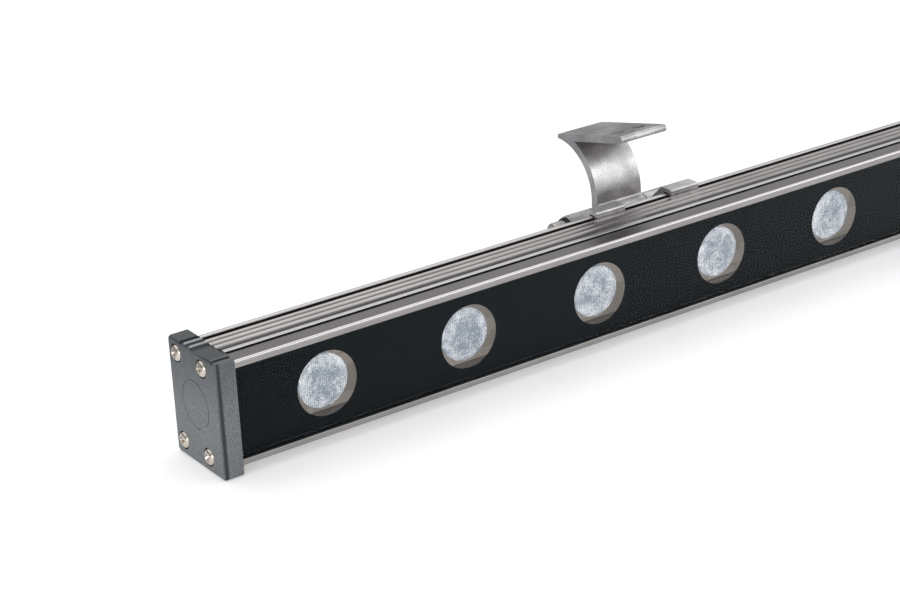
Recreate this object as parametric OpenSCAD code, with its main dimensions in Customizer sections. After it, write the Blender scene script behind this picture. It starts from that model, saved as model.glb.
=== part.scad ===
// Outdoor wall washer light: a long extruded housing with a row of lenses behind a black-printed glass,
// two die-cast end caps, and two brackets that slide along the back lip and tilt on a hinge bolt.
// X runs along the light, the glass faces -Y, and the light stands on its base at Z = 0.

/* [Light] */
// Length over both end caps
light_len = 1000; // [900:1:1200]
// Number of lenses in the row
lens_n = 18; // [12:1:22]
// Distance from each end face to the nearest lens centre
end_margin = 40.4; // [37:0.1:50]
// Distance from each end face to the middle of its bracket
bracket_inset = 182.5; // [120:0.1:260]

/* [Housing section] */
// Height of the top face above the middle line
top_rise = 18.1; // [17.8:0.1:20]
// Depth of the base below the middle line
base_drop = 21.4; // [21:0.1:24]
// Depth of the housing behind the glass face
back_d = 27.6; // [27.2:0.1:32]
// How far the front lips stand out in front of the glass
lip_proud = 1.4; // [1.2:0.1:2]
// Gap between the glass and the front lip, filled by the glass seal
seal_t = 0.4; // [0.3:0.05:0.6]
// How far the top face drops to the front band
band_drop = 1.1; // [0.8:0.1:1.4]
// Depth of the front band behind the glass face
band_d = 4.4; // [4:0.1:5]
// Gap under the housing, which stands on its end caps
base_gap = 1; // [0.6:0.1:1.1]
// Height of the lower front lip above the housing's underside
lip_lift = 2.5; // [2:0.1:2.7]
// Depth of the lower front step behind the glass face
step_d = 3.9; // [3:0.1:5]
// Radius of the front lip edges
edge_r = 0.7; // [0.3:0.1:0.9]
// Number of flutes along the top face
flute_n = 3; // [2:1:5]
// Depth of a flute
flute_deep = 0.35; // [0.2:0.05:0.6]
// How far the flutes' edges lie below the flat strip
flute_drop = 0.25; // [0.1:0.05:0.4]
// Width of the flat strip in front of the flutes
flat_w = 1.5; // [1:0.1:2]
// Width of the slope between the flat strip and the first flute
slope_w = 2.1; // [1.5:0.1:2.5]
// Height of the undercut in the front riser
joint_h = 0.6; // [0.4:0.1:0.7]
// Depth of the undercut in the front riser
joint_deep = 1; // [0.6:0.1:1.2]

/* [Rails] */
// Thickness of the back lip that the clips hook over
rail_t = 1.8; // [1.6:0.1:2.2]
// Distance from the glass face to the back of that lip
rail_back = 20.6; // [20.2:0.1:20.9]
// Width of the slot in front of the back lip
slot_w = 1.9; // [1.8:0.1:2.2]
// Depth of that slot
slot_deep = 3.6; // [3.2:0.1:4]
// How far the shelf behind the back lip lies below the top face
shelf_drop = 2.6; // [2.4:0.1:2.8]
// Size of the bevel at the back of the shelf
shelf_bevel = 3.1; // [3:0.1:3.3]
// Height of the tee slot's middle above the base
tee_lift = 16; // [15:0.1:17]
// Mouth width of the tee slot
tee_mouth = 2.4; // [2:0.1:2.8]
// Inside height of the tee slot
tee_h = 5.6; // [5:0.1:6]
// Inside depth of the tee slot
tee_d = 2.2; // [2:0.1:2.4]
// Thickness of the tee slot's lips
tee_lip = 2; // [1.8:0.1:2.4]
// Height of solid metal on each side of the tee slot's middle
tee_side = 4.4; // [4.2:0.1:4.8]

/* [Fins] */
// Distance between neighbouring fins
fin_pitch = 2.6; // [2.4:0.1:3]
// Width of the gap between two fins
fin_gap = 1.4; // [1.2:0.1:1.6]
// Depth of the gaps
fin_deep = 4.2; // [3:0.1:4.4]
// Number of gaps above the tee slot
fin_above = 4; // [2:1:4]
// Number of gaps below the tee slot
fin_below = 2; // [1:1:2]

/* [Glass and board] */
// Thickness of the glass
glass_t = 4; // [3.5:0.1:4.5]
// Height of the glass above the middle line
glass_rise = 15.3; // [15:0.1:15.4]
// Depth of the glass below the middle line
glass_drop = 16.5; // [16.2:0.1:16.6]
// How far the lips cover the edge of the glass
lip_cover = 0.75; // [0.6:0.05:1]
// Diameter of a window in the black print
window_d = 21.7; // [20:0.1:22.5]
// Thickness of the black print
print_t = 0.15; // [0.1:0.05:0.2]
// Distance from the glass face to the face of the board
board_y = 13.5; // [13.4:0.1:14]
// Thickness of the board
board_t = 1.5; // [1.2:0.1:1.6]
// Gap between the board and the chamber walls
board_gap = 0.4; // [0.3:0.1:0.8]
// Gap between the two boards
board_split = 1; // [0.6:0.1:2]
// Thickness of the wall behind the board
mid_wall = 2; // [1.8:0.1:2.2]
// Thickness of the housing's back wall in front of the fins
back_wall = 1.6; // [1.4:0.1:2]

/* [Lens and emitter] */
// Diameter of the lens flange
lens_d = 18; // [17:0.1:19]
// How far the lens row lies below the middle line
row_drop = 1.8; // [1.2:0.1:2.4]
// Distance from the glass face to the lens face
lens_y = 6.2; // [6:0.1:6.5]
// Thickness of the lens flange
flange_t = 1.2; // [1:0.1:1.6]
// Diameter of the lens foot
foot_d = 9.2; // [8:0.1:10]
// Gap between the lens foot and the board
foot_gap = 0.9; // [0.8:0.1:1.2]
// Diameter of the pocket over the emitter
pocket_d = 5.2; // [4.8:0.1:6]
// Depth of that pocket
pocket_deep = 3; // [2:0.1:4]
// Thickness of the holder's wall
holder_t = 1.3; // [1:0.1:1.6]
// Height of the holder
holder_h = 2.6; // [2:0.1:3]
// Width of an emitter
chip_w = 3.5; // [3:0.1:4]
// Height of an emitter's body
chip_h = 0.9; // [0.6:0.1:1]
// Diameter of an emitter's dome
dome_d = 2.6; // [2:0.1:3]

/* [End caps] */
// Thickness of an end cap
cap_t = 6.7; // [6:0.1:8]
// Thickness of the gasket under an end cap
gasket_t = 0.8; // [0.5:0.1:1.2]
// Width of the cap's rim round the gasket's pocket
gasket_inset = 1.8; // [1.5:0.1:1.9]
// How far an end cap stands out past the lips and the fins
cap_proud = 0.1; // [0:0.05:0.4]
// Extra depth of the end cap behind the fins
cap_back = 0.4; // [0.2:0.1:0.6]
// Size of the bevel round the outer face
cap_bevel = 0.9; // [0.5:0.1:1.2]
// Radius of the end cap's corners
cap_r = 1.6; // [1:0.1:2.2]
// Depth of the grooves and of the hollow across the top of an end cap
cap_step = 0.8; // [0.4:0.1:0.9]
// Width of a rib across the top of an end cap
cap_rib = 1.4; // [1:0.1:1.6]
// Width of a groove across the top of an end cap
cap_groove = 1.9; // [1.4:0.1:2.1]
// Width of the lip bar along the front of an end cap's top
cap_bar = 2.1; // [1.8:0.1:2.4]
// Width of the narrow groove behind that bar
cap_nick = 1; // [0.6:0.1:1.4]
// How far the top of the bar lies below the top of the cap
bar_drop = 0.5; // [0.3:0.1:0.8]
// Diameter of the blank cable entry's ring
blank_d = 16.2; // [12:0.1:18]
// Height of that ring's middle above the middle line, negative when below
blank_z = -0.5; // [-2:0.1:1]
// Width of that ring
blank_w = 0.4; // [0.3:0.1:0.8]
// Depth of that ring
blank_deep = 0.2; // [0.1:0.05:0.6]

/* [Cap screws] */
// Thread diameter of a cap screw
screw_d = 3; // [2.6:0.1:3.2]
// Length of a cap screw under its head
screw_len = 16; // [13:0.5:20]
// Head diameter of a cap screw
head_d = 5.6; // [5.2:0.1:6.2]
// Head height of a cap screw
head_h = 2.2; // [2:0.1:2.6]
// Radial gap round a screw in its hole
screw_gap = 0.2; // [0.1:0.05:0.3]
// Radial gap between a thread and the port it cuts into
thread_gap = 0.05; // [0.02:0.01:0.08]
// Depth of the counterbore
sink_deep = 1.4; // [1:0.1:1.8]
// Distance from the glass face to the front screws
screw_front = 7.7; // [7.2:0.1:8]
// Distance from the front screws to the back screws
screw_apart = 15.4; // [15.2:0.1:15.6]
// Height of the upper screws above the middle line
screw_rise = 13.3; // [12.8:0.1:13.4]
// Depth of the lower screws below the middle line
screw_drop = 16.2; // [16:0.1:16.4]
// Wall round a screw port
port_wall = 0.9; // [0.7:0.1:1.1]

/* [Small parts] */
// Thread diameter of a board screw
board_screw_d = 3; // [2.6:0.1:3]
// Head diameter of a board screw
board_head_d = 5.6; // [5:0.1:6]
// Head height of a board screw
board_head_h = 1.8; // [1.5:0.1:2.2]
// Number of lens gaps between neighbouring board screws
board_screw_step = 2; // [2:1:3]
// Length of a driver chip
driver_l = 5; // [4:0.1:6]
// Width of a driver chip
driver_w = 4; // [3:0.1:5]
// Height of a driver chip
driver_h = 1.6; // [1.2:0.1:2]
// Number of lens gaps between neighbouring driver chips
driver_step = 3; // [3:1:5]
// Length of the terminal block
terminal_l = 9; // [7:0.1:10]
// Width of the terminal block
terminal_w = 10; // [8:0.1:12]
// Height of the terminal block
terminal_h = 6; // [5:0.1:7]
// Diameter of the terminal block's wire holes
terminal_hole = 2.4; // [2:0.1:2.8]
// Diameter of a link wire between the boards
link_d = 1.2; // [0.8:0.1:1.6]
// Reach of a link wire from leg to leg
link_w = 7; // [6:0.1:9]
// Distance between the two link wires
link_apart = 6; // [4:0.1:8]

/* [Cable gland] */
// Distance from the glass face to the gland's axis
gland_y = 9.8; // [9.6:0.1:10]
// Height of the gland's axis above the middle line, negative when below
gland_z = -2; // [-3:0.1:-1]
// Thread diameter of the gland
gland_thread = 10; // [9.5:0.1:10.4]
// Width across the flats of the gland
gland_flats = 15; // [14:0.1:16]
// Thickness of the gland's hexagon
gland_hex = 4.5; // [4:0.1:6]
// Length of the gland's outer thread
gland_neck = 7; // [6:0.1:9]
// Length of the gland nut
nut_len = 11; // [10:0.1:13]
// Bore of the gland body
gland_bore = 7.4; // [7:0.1:7.6]
// Thickness of the sealing ring under the hexagon
ring_t = 1; // [0.8:0.1:1.4]
// Bore of the seal, for the cord
cord_bore = 6; // [5:0.1:6.4]

/* [Bracket clip] */
// Length of a clip along the light
clip_len = 45.6; // [44:0.1:60]
// Gap between the arm and each cheek of the clip
cheek_gap = 0.4; // [0.3:0.1:1]
// Thickness of the claw
claw_t = 1.4; // [1.2:0.1:1.5]
// Gap between the claw and the top of the back lip
claw_gap = 0.3; // [0.2:0.05:0.5]
// Length of the claw's leg in the slot, below the top face
leg_len = 2.2; // [1.5:0.1:2.8]
// Thickness of the clip's sloping web, measured level
slope_t = 1.6; // [1.5:0.05:2]
// Thickness of the clip's back web
web_t = 3; // [2.6:0.1:3.6]
// Gap between the fins and the clip's back web
web_gap = 0.3; // [0.25:0.05:0.6]
// How far the hinge axis lies below the top face
hinge_drop = 8.3; // [8.2:0.1:8.8]
// Radius of a hinge knuckle
knuckle_r = 4.6; // [4.5:0.1:5]
// How far the knuckle lies behind the clip's inner face
knuckle_set = 0.1; // [0.05:0.05:0.4]
// Gap between the arm's knuckle and the clip below it
knuckle_gap = 0.5; // [0.3:0.1:0.8]
// Gap between the tee foot and its slot
tee_gap = 0.3; // [0.2:0.05:0.4]
// Gap between a lock screw's tip and the housing
lock_gap = 0.1; // [0.05:0.05:0.2]
// Diameter of a lock screw
lock_d = 4; // [3.5:0.1:4]
// Length of a lock screw
lock_len = 5; // [4.5:0.1:6]
// Distance from the clip's end to a lock screw
lock_inset = 7; // [5:0.1:9]
// Width across the flats of a lock screw's socket
lock_hex = 2; // [1.5:0.1:2]

/* [Bracket arm] */
// Width of the arm along the light
arm_w = 19.8; // [16:0.1:23.5]
// Thickness of the arm
arm_t = 3; // [2.6:0.1:3.2]
// How far the arm's middle lies behind the hinge axis
arm_back = 1.7; // [1.6:0.1:1.8]
// Height of the straight stem above the hinge axis
stem_h = 6; // [6:0.1:8]
// Radius of the arm's bend, to the middle of its thickness
bend_r = 20; // [20:0.1:24]
// Radius of the fillet between the stem and the knuckle
fillet_r = 1; // [0.6:0.1:1]
// Thickness of the plate
plate_t = 2.5; // [2.2:0.1:2.8]
// Length of the plate
plate_len = 36; // [32:0.1:42]
// Slope of the plate, rising to the front, in degrees
plate_tilt = 12.5; // [8:0.5:15]
// Thickness left at the back edge of the plate
plate_edge = 1.5; // [1.2:0.1:1.6]
// Diameter of a fixing hole
hole_d = 4.5; // [4:0.1:4.8]
// Distance between the two fixing holes
hole_apart = 9.2; // [8.5:0.1:9.6]
// Distance from the front of the plate to the fixing holes
hole_back = 8.5; // [6:0.1:12]

/* [Hinge bolt] */
// Diameter of the hinge bolt
bolt_d = 4; // [3.8:0.1:4]
// Radial running gap of the bolt
bolt_gap = 0.05; // [0.03:0.01:0.08]
// Head diameter of the hinge bolt
bolt_head_d = 7; // [6.6:0.1:7.4]
// Head height of the hinge bolt
bolt_head_h = 4.9; // [3.5:0.1:5.2]
// Width across the flats of the bolt's socket
bolt_hex = 3; // [2.5:0.1:3]
// Thickness of the spring washer
spring_t = 1.2; // [0.8:0.1:1.4]
// Outer diameter of the spring washer
spring_d = 8; // [7:0.1:8.4]
// Width of the split in the spring washer
spring_split = 0.6; // [0.4:0.1:0.8]
// Thickness of the flat washer
washer_t = 1; // [0.6:0.1:1.2]
// Outer diameter of the flat washer
washer_d = 9; // [8:0.1:9.2]
// Width across the flats of the nut
nut_flats = 7; // [6.8:0.1:7.4]
// Height of the nut
nut_h = 5; // [3:0.1:5]
// How far the bolt stands out of the nut
bolt_out = 1.4; // [0.8:0.1:3]

/* [Hidden] */
$fn = 64;
// Overrun of every cut
cut = 1;
// Sides of a hexagon
hex = 6;
// Steps of a small drawn arc
arc_n = 6;

// Housing
lip_y = -lip_proud;
top_z = top_rise;
floor_z = -base_drop;
base_z = floor_z + base_gap;
band_z = top_z - band_drop;
low_lip_z = base_z + lip_lift;
open_top = glass_rise - lip_cover;
open_low = -glass_drop + lip_cover;
chamber_y = glass_t + seal_t;
seat_y = board_y + board_t;
rail_front = rail_back - rail_t;
slot_y = rail_front - slot_w;
slot_z = top_z - slot_deep;
shelf_z = top_z - shelf_drop;
flute_y = band_d + flat_w + slope_w;
flute_w = (slot_y - flute_y) / flute_n;
flute_r = (pow(flute_w / 2, 2) + pow(flute_deep, 2)) / (2 * flute_deep);
flute_z = top_z - flute_drop;
tee_z = base_z + tee_lift;
fin_y = back_d - fin_deep;
cavity_y = seat_y + mid_wall;
cavity_back = fin_y - back_wall;
screw_back = screw_front + screw_apart;
port_r = screw_d / 2 + thread_gap;
cavity_top = screw_rise - port_r - port_wall;
cavity_low = -screw_drop + port_r + port_wall;
housing_x = light_len / 2 - cap_t;

cap_front_y = lip_y - cap_proud;
cap_back_y = back_d + cap_back;
blank_y = (cap_front_y + cap_back_y) / 2;

// Lenses
lens_pitch = (light_len - 2 * end_margin) / (lens_n - 1);
function lens_x(i) = (i - (lens_n - 1) / 2) * lens_pitch;
foot_y = board_y - foot_gap;
neck_y = lens_y + flange_t;
// The lens body just under its flange, as a share of the flange
neck_share = 0.94;
board_end = housing_x - board_gap;

// End caps and gland
face_x = light_len / 2;
rib_y = rail_back - cap_groove - cap_rib;
plateau_y = rib_y - cap_groove - cap_rib;
crown_y = cap_front_y + cap_bar + cap_nick;
bar_z = top_z - bar_drop;
gland_x = face_x + ring_t;
neck_x = gland_x + gland_hex;
nut_end = neck_x + nut_len;
mouth_r = cord_bore / 2 + ring_t;

// Clip and hinge
clip_gap = arm_w + 2 * cheek_gap;
claw_z = top_z + claw_gap + claw_t;
claw_under = top_z + claw_gap;
leg_front = slot_y + (slot_w - claw_t) / 2;
web_y = back_d + web_gap;
hinge_y = web_y + knuckle_r + knuckle_set;
hinge_z = top_z - hinge_drop;
under_sum = back_d - shelf_bevel + shelf_z + 2 * claw_gap;
slope_sum = under_sum + slope_t;
shelf_gap_z = shelf_z + claw_gap;
web_low = tee_z - tee_side;
tee_back = back_d - tee_lip - tee_gap;
tee_front = back_d - tee_lip - tee_d + tee_gap;
tee_foot_h = tee_h - 2 * tee_gap;
tee_neck_h = tee_mouth - 2 * tee_gap;
bolt_r = bolt_d / 2;
bore_r = bolt_r + bolt_gap;
clip_end = clip_len / 2;
bolt_start = -clip_end - washer_t - spring_t;
bolt_stop = clip_end + nut_h + bolt_out;
lock_z = tee_z + (tee_h / 2 + tee_side) / 2 - tee_gap;
bracket_x = light_len / 2 - bracket_inset;

// Arm
arm_y = hinge_y + arm_back;
arc_y = arm_y + bend_r;
arc_z = hinge_z + stem_h;
plate_y = arc_y;
plate_z = arc_z + bend_r - arm_t / 2 + plate_edge;
stem_face = arm_back - arm_t / 2;
fillet_z = sqrt(pow(knuckle_r + fillet_r, 2) - pow(stem_face - fillet_r, 2));
// Turn of the fillet, from the stem to the knuckle
fillet_turn = atan2(fillet_z, fillet_r - stem_face);
// Middle of the plate's round front edge, measured from the back edge of its top
nose_y = -plate_len + plate_t / 2;
nose = [nose_y * cos(plate_tilt) - plate_t / 2 * sin(plate_tilt),
    -nose_y * sin(plate_tilt) - plate_t / 2 * cos(plate_tilt)];

// The part's own frame: the middle of the whole length and depth, at the base
head_out = head_h - sink_deep;
mid_x = (nut_end - face_x - head_out) / 2;
mid_y = (cap_front_y + plate_y) / 2;

LENSES = [for (i = [0 : lens_n - 1]) str("lens_", i < 9 ? "0" : "", i + 1)];

// Points of an arc, from angle a to angle b
function arc(y, z, r, a, b) =
    [for (k = [0 : arc_n]) let (t = a + (b - a) * k / arc_n) [y + r * cos(t), z + r * sin(t)]];

// Moves the drawing frame, with its origin on the middle line at the glass face, to the part's own frame
module place() { translate([-mid_x, -mid_y, base_drop]) children(); }

// Extrudes a Y-Z section along X
module bar(x0, x1) { translate([x0, 0, 0]) rotate([90, 0, 90]) linear_extrude(x1 - x0) children(); }

// A rod along X
module rod(x0, x1, r, y = 0, z = 0) {
    translate([x0, y, z]) rotate([0, 90, 0]) cylinder(h = x1 - x0, r = r);
}

// A rod along Y, from the front to the back
module pin(y0, y1, r, x = 0, z = 0) {
    translate([x, y1, z]) rotate([90, 0, 0]) cylinder(h = y1 - y0, r = r);
}

// A hexagonal bar along X, given by the width across its flats
module hex_bar(x0, x1, flats, y = 0, z = 0) {
    translate([x0, y, z]) rotate([0, 90, 0]) cylinder(h = x1 - x0, r = flats / sqrt(3), $fn = hex);
}

// A rectangle by its corners
module box2(y0, z0, y1, z1) { translate([y0, z0]) square([y1 - y0, z1 - z0]); }

// Four places of the screws of an end cap
module at_screws() {
    for (y = [screw_front, screw_back], z = [screw_rise, -screw_drop]) translate([0, y, z]) children();
}

// Places of the board screws, between the lenses
screw_gaps = [for (i = [0 : board_screw_step : lens_n - 2])
    if (abs((i + 0.5) - (lens_n - 1) / 2) > 0.1) lens_x(i + 0.5)];

// Housing: the outline, front lip first, then over the top to the back and round under the base
outline = concat(
    arc(lip_y + edge_r, band_z - edge_r, edge_r, 180, 90),
    [[band_d, band_z], [band_d, top_z], [band_d + flat_w, top_z], [flute_y, flute_z], [slot_y, flute_z]],
    [[slot_y, slot_z], [rail_front, slot_z]],
    arc(rail_front + edge_r / 2, top_z - edge_r / 2, edge_r / 2, 180, 90),
    arc(rail_back - edge_r / 2, top_z - edge_r / 2, edge_r / 2, 90, 0),
    [[rail_back, shelf_z], [back_d - shelf_bevel, shelf_z], [back_d, shelf_z - shelf_bevel]],
    arc(back_d - edge_r, base_z + edge_r, edge_r, 0, -90),
    [[step_d, base_z], [step_d, low_lip_z]],
    arc(lip_y + edge_r, low_lip_z + edge_r, edge_r, 270, 180));

module housing_section() {
    difference() {
        polygon(outline);
        for (i = [0 : flute_n - 1])
            translate([flute_y + flute_w * (i + 0.5), flute_z - flute_deep + flute_r]) circle(flute_r);
        box2(lip_y - cut, open_low, chamber_y, open_top);
        box2(-seal_t, -glass_drop - seal_t, chamber_y, glass_rise + seal_t);
        difference() {
            box2(glass_t, open_low, seat_y, open_top);
            for (z = [screw_rise, -screw_drop]) translate([screw_front, z]) circle(port_r + port_wall);
        }
        box2(cavity_y, cavity_low, cavity_back, cavity_top);
        for (y = [screw_front, screw_back], z = [screw_rise, -screw_drop]) translate([y, z]) circle(port_r);
        box2(band_d - edge_r, band_z, band_d + joint_deep, band_z + joint_h);
        box2(back_d - tee_lip - tee_d, tee_z - tee_h / 2, back_d - tee_lip, tee_z + tee_h / 2);
        box2(back_d - tee_lip - tee_d, tee_z - tee_mouth / 2, back_d + cut, tee_z + tee_mouth / 2);
        for (i = [0 : fin_above - 1]) fin_cut(tee_z + tee_side + fin_pitch * i + (fin_pitch - fin_gap));
        for (i = [0 : fin_below - 1]) fin_cut(tee_z - tee_side - fin_pitch * i - fin_pitch);
    }
}

// One gap between two fins, from its lower side
module fin_cut(z) { box2(fin_y, z, back_d + cut, z + fin_gap); }

module housing() color("silver") place() difference() {
    bar(-housing_x, housing_x) housing_section();
    for (x = screw_gaps) pin(seat_y - cut, cavity_y + cut, board_screw_d / 2 + thread_gap, x);
}

module front_glass() color([0.8, 0.9, 0.9, 0.4]) place()
    bar(-housing_x, housing_x) box2(0, -glass_drop, glass_t, glass_rise);

module glass_print() color("black") place() difference() {
    bar(-housing_x, housing_x) box2(glass_t, open_low, glass_t + print_t, open_top);
    for (i = [0 : lens_n - 1]) pin(glass_t - cut, glass_t + cut, window_d / 2, lens_x(i), -row_drop);
}

// A rubber channel round one edge of the glass; side is 1 at the top and -1 at the bottom
module glass_seal(edge, side) color("dimgray") place() bar(-housing_x, housing_x) difference() {
    translate([-seal_t, edge - (side > 0 ? lip_cover : seal_t)])
        square([glass_t + 2 * seal_t, lip_cover + seal_t]);
    translate([0, edge - (side > 0 ? lip_cover + cut : 0)]) square([glass_t, lip_cover + cut]);
}

// End cap: the outline of its face, with a lip bar, a wide hollow and two ribs across the top
cap_outline = concat(
    [[cap_front_y, floor_z - cut]],
    arc(cap_front_y + cap_r / 2, bar_z - cap_r / 2, cap_r / 2, 180, 90),
    arc(cap_front_y + cap_bar - cap_r / 2, bar_z - cap_r / 2, cap_r / 2, 90, 0),
    [[cap_front_y + cap_bar, bar_z - cap_step], [crown_y, bar_z - cap_step]],
    [for (k = [0 : arc_n])
        [crown_y + (plateau_y - crown_y) * k / arc_n, top_z - cap_step * sin(90 * k / arc_n)]],
    rib(plateau_y),
    rib(rib_y),
    [[rail_back, top_z - cap_step], [rail_back, top_z], [cap_back_y, top_z], [cap_back_y, floor_z - cut]]);
function rib(y) =
    [[y, top_z - cap_step], [y, top_z], [y + cap_rib, top_z], [y + cap_rib, top_z - cap_step]];

// The plain block of an end cap with its outer edges bevelled, outer face at x = 0
module cap_block() hull() {
    bar(cap_bevel, cap_t) rounded_face(0);
    bar(0, cap_bevel / 2) rounded_face(cap_bevel);
}

module rounded_face(inset) {
    r = cap_r - inset / 2;
    polygon(concat(
        arc(cap_front_y + inset + r, top_z - inset - r, r, 180, 90),
        arc(cap_back_y - inset - r, top_z - inset - r, r, 90, 0),
        arc(cap_back_y - inset - r, floor_z + inset + r, r, 0, -90),
        arc(cap_front_y + inset + r, floor_z + inset + r, r, 270, 180)));
}

// An end cap with its outer face at x = 0, standing to +X, with a pocket for the gasket in its inner face
module end_cap() difference() {
    intersection() {
        cap_block();
        bar(-cut, cap_t + cut) polygon(cap_outline);
    }
    at_screws() {
        rod(-cut, cap_t + cut, screw_d / 2 + screw_gap);
        rod(-cut, sink_deep, head_d / 2 + screw_gap);
    }
    bar(cap_t - gasket_t, cap_t + cut) rounded_face(gasket_inset);
}

module end_cap_left() color("slategray") place() translate([-face_x, 0, 0]) difference() {
    end_cap();
    difference() {
        rod(-cut, blank_deep, blank_d / 2, blank_y, blank_z);
        rod(-2 * cut, blank_deep + cut, blank_d / 2 - blank_w, blank_y, blank_z);
    }
}

module end_cap_right() color("slategray") place() translate([face_x, 0, 0]) difference() {
    mirror([1, 0, 0]) end_cap();
    rod(-cap_t - cut, cut, gland_thread / 2 + thread_gap, gland_y, gland_z);
}

module cap_gasket(x0) color("black") place() difference() {
    bar(x0, x0 + gasket_t) difference() {
        rounded_face(gasket_inset);
        box2(chamber_y, cavity_low, seat_y, cavity_top);
    }
    at_screws() rod(x0 - cut, x0 + gasket_t + cut, screw_d / 2 + screw_gap);
}

// A pan-head screw with a cross recess, its seat at x = 0, its head to -X and its thread to +X
module pan_screw(d, len, hd, hh) difference() {
    union() {
        rod(0, len, d / 2);
        rotate([0, -90, 0]) rotate_extrude() polygon(concat(
            [[0, 0], [hd / 2, 0]], arc(hd / 2 - hh / 2, hh / 2, hh / 2, 0, 90), [[0, hh]]));
    }
    for (a = [0, 90]) rotate([a, 0, 0])
        translate([-hh - cut, -d / 2, -d / 10]) cube([hh / 2 + cut, d, d / 5]);
}

module cap_screws_left() color("gainsboro") place() translate([-face_x + sink_deep, 0, 0])
    at_screws() pan_screw(screw_d, screw_len, head_d, head_h);

module cap_screws_right() color("gainsboro") place() translate([face_x - sink_deep, 0, 0])
    mirror([1, 0, 0]) at_screws() pan_screw(screw_d, screw_len, head_d, head_h);

// A board from one x to another, with clearance for its screws
module led_board(x0, x1) color("wheat") place() difference() {
    bar(x0, x1) box2(board_y, open_low + board_gap, seat_y, open_top - board_gap);
    for (x = screw_gaps) if (x > x0 && x < x1)
        pin(board_y - cut, seat_y + cut, board_screw_d / 2 + screw_gap, x);
}

module board_screws() color("gainsboro") place() for (x = screw_gaps) translate([x, board_y, 0])
    rotate([0, 0, 90]) pan_screw(board_screw_d, board_t + mid_wall, board_head_d, board_head_h);

// Two wires that bridge the gap between the boards
module board_link() color("firebrick") place() for (z = [-link_apart / 2, link_apart / 2])
    translate([0, board_y, z]) difference() {
        rotate_extrude() translate([link_w / 2, 0]) circle(link_d / 2);
        translate([-link_w, 0, -link_w]) cube([2 * link_w, link_w, 2 * link_w]);
    }

module emitters() color("lightyellow") place() for (i = [0 : lens_n - 1]) translate([lens_x(i), 0, -row_drop]) {
    translate([-chip_w / 2, board_y - chip_h, -chip_w / 2]) cube([chip_w, chip_h, chip_w]);
    intersection() {
        translate([0, board_y - chip_h, 0]) sphere(dome_d / 2);
        pin(board_y - chip_h - dome_d, board_y - chip_h / 2, dome_d);
    }
}

// A holder ring that seats the lens foot on the board
module lens_holders() color("whitesmoke") place() for (i = [0 : lens_n - 1])
    translate([lens_x(i), board_y, -row_drop]) rotate([90, 0, 0]) rotate_extrude() polygon([
        [holder_in(0), 0], [holder_in(0) + holder_t + holder_h / 2, 0],
        [holder_in(holder_h) + holder_t, holder_h], [holder_in(holder_h), holder_h]]);

// Radius of the lens body at a height above the board, and of the holder round it
function body_r(h) = foot_d / 2 + (h - foot_gap) * (neck_share * lens_d - foot_d) / 2 / (foot_y - neck_y);
function holder_in(h) = body_r(h) + seal_t / 2;

module lens(i) color([0.9, 0.95, 1, 0.6]) place() translate([lens_x(i), lens_y, -row_drop]) rotate([-90, 0, 0])
    difference() {
        rotate_extrude() polygon([[0, 0], [lens_d / 2, 0], [lens_d / 2, flange_t],
            [neck_share * lens_d / 2, flange_t], [foot_d / 2, foot_y - lens_y], [0, foot_y - lens_y]]);
        translate([0, 0, foot_y - lens_y - pocket_deep]) cylinder(h = pocket_deep + cut, r = pocket_d / 2);
    }

module driver_chips() color("black") place()
    for (i = [1 : driver_step : lens_n - 2]) if (abs((i + 0.5) - (lens_n - 1) / 2) > 0.1)
        translate([lens_x(i + 0.5) - driver_l / 2, board_y - driver_h, -glass_drop / 2 - driver_w / 2])
            cube([driver_l, driver_h, driver_w]);

module terminal_block() color("white") place() difference() {
    translate([board_end - board_gap - terminal_l, board_y - terminal_h, gland_z - terminal_w / 2])
        cube([terminal_l, terminal_h, terminal_w]);
    for (z = [gland_z - terminal_w / 4, gland_z + terminal_w / 4])
        rod(board_end - terminal_l / 2, board_end + cut, terminal_hole / 2, board_y - terminal_h / 2, z);
}

// Cable gland: a stub through the cap, then ring, hexagon and thread outside it
module gland_body() color("silver") place() difference() {
    union() {
        rod(face_x - cap_t, gland_x, gland_thread / 2, gland_y, gland_z);
        hex_bar(gland_x, neck_x, gland_flats, gland_y, gland_z);
        rod(neck_x, neck_x + gland_neck, gland_thread / 2, gland_y, gland_z);
    }
    rod(face_x - cap_t - cut, neck_x + gland_neck + cut, gland_bore / 2, gland_y, gland_z);
}

module gland_ring() color("black") place() difference() {
    rod(face_x, gland_x, gland_flats / 2, gland_y, gland_z);
    rod(face_x - cut, gland_x + cut, gland_thread / 2 + thread_gap, gland_y, gland_z);
}

module gland_seal() color("black") place() difference() {
    union() {
        rod(gland_x, neck_x + gland_neck, gland_bore / 2 - thread_gap, gland_y, gland_z);
        rod(neck_x + gland_neck, neck_x + gland_neck + ring_t,
            gland_thread / 2 - thread_gap, gland_y, gland_z);
        rod(neck_x + gland_neck, nut_end - ring_t / 2, mouth_r - thread_gap, gland_y, gland_z);
    }
    rod(gland_x - cut, nut_end + cut, cord_bore / 2, gland_y, gland_z);
}

module gland_nut() color("silver") place() difference() {
    union() {
        hex_bar(neck_x, nut_end - ring_t * 2, gland_flats, gland_y, gland_z);
        translate([neck_x, gland_y, gland_z]) rotate([0, 90, 0]) rotate_extrude() polygon(concat(
            [[0, 0], [gland_flats / 2, 0], [gland_flats / 2, nut_len - 3 * ring_t]],
            arc(gland_flats / 2 - 3 * ring_t, nut_len - 3 * ring_t, 3 * ring_t, 0, 90), [[0, nut_len]]));
    }
    rod(neck_x - cut, neck_x + gland_neck + ring_t, gland_thread / 2 + thread_gap, gland_y, gland_z);
    rod(neck_x, nut_end + cut, mouth_r, gland_y, gland_z);
}

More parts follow.
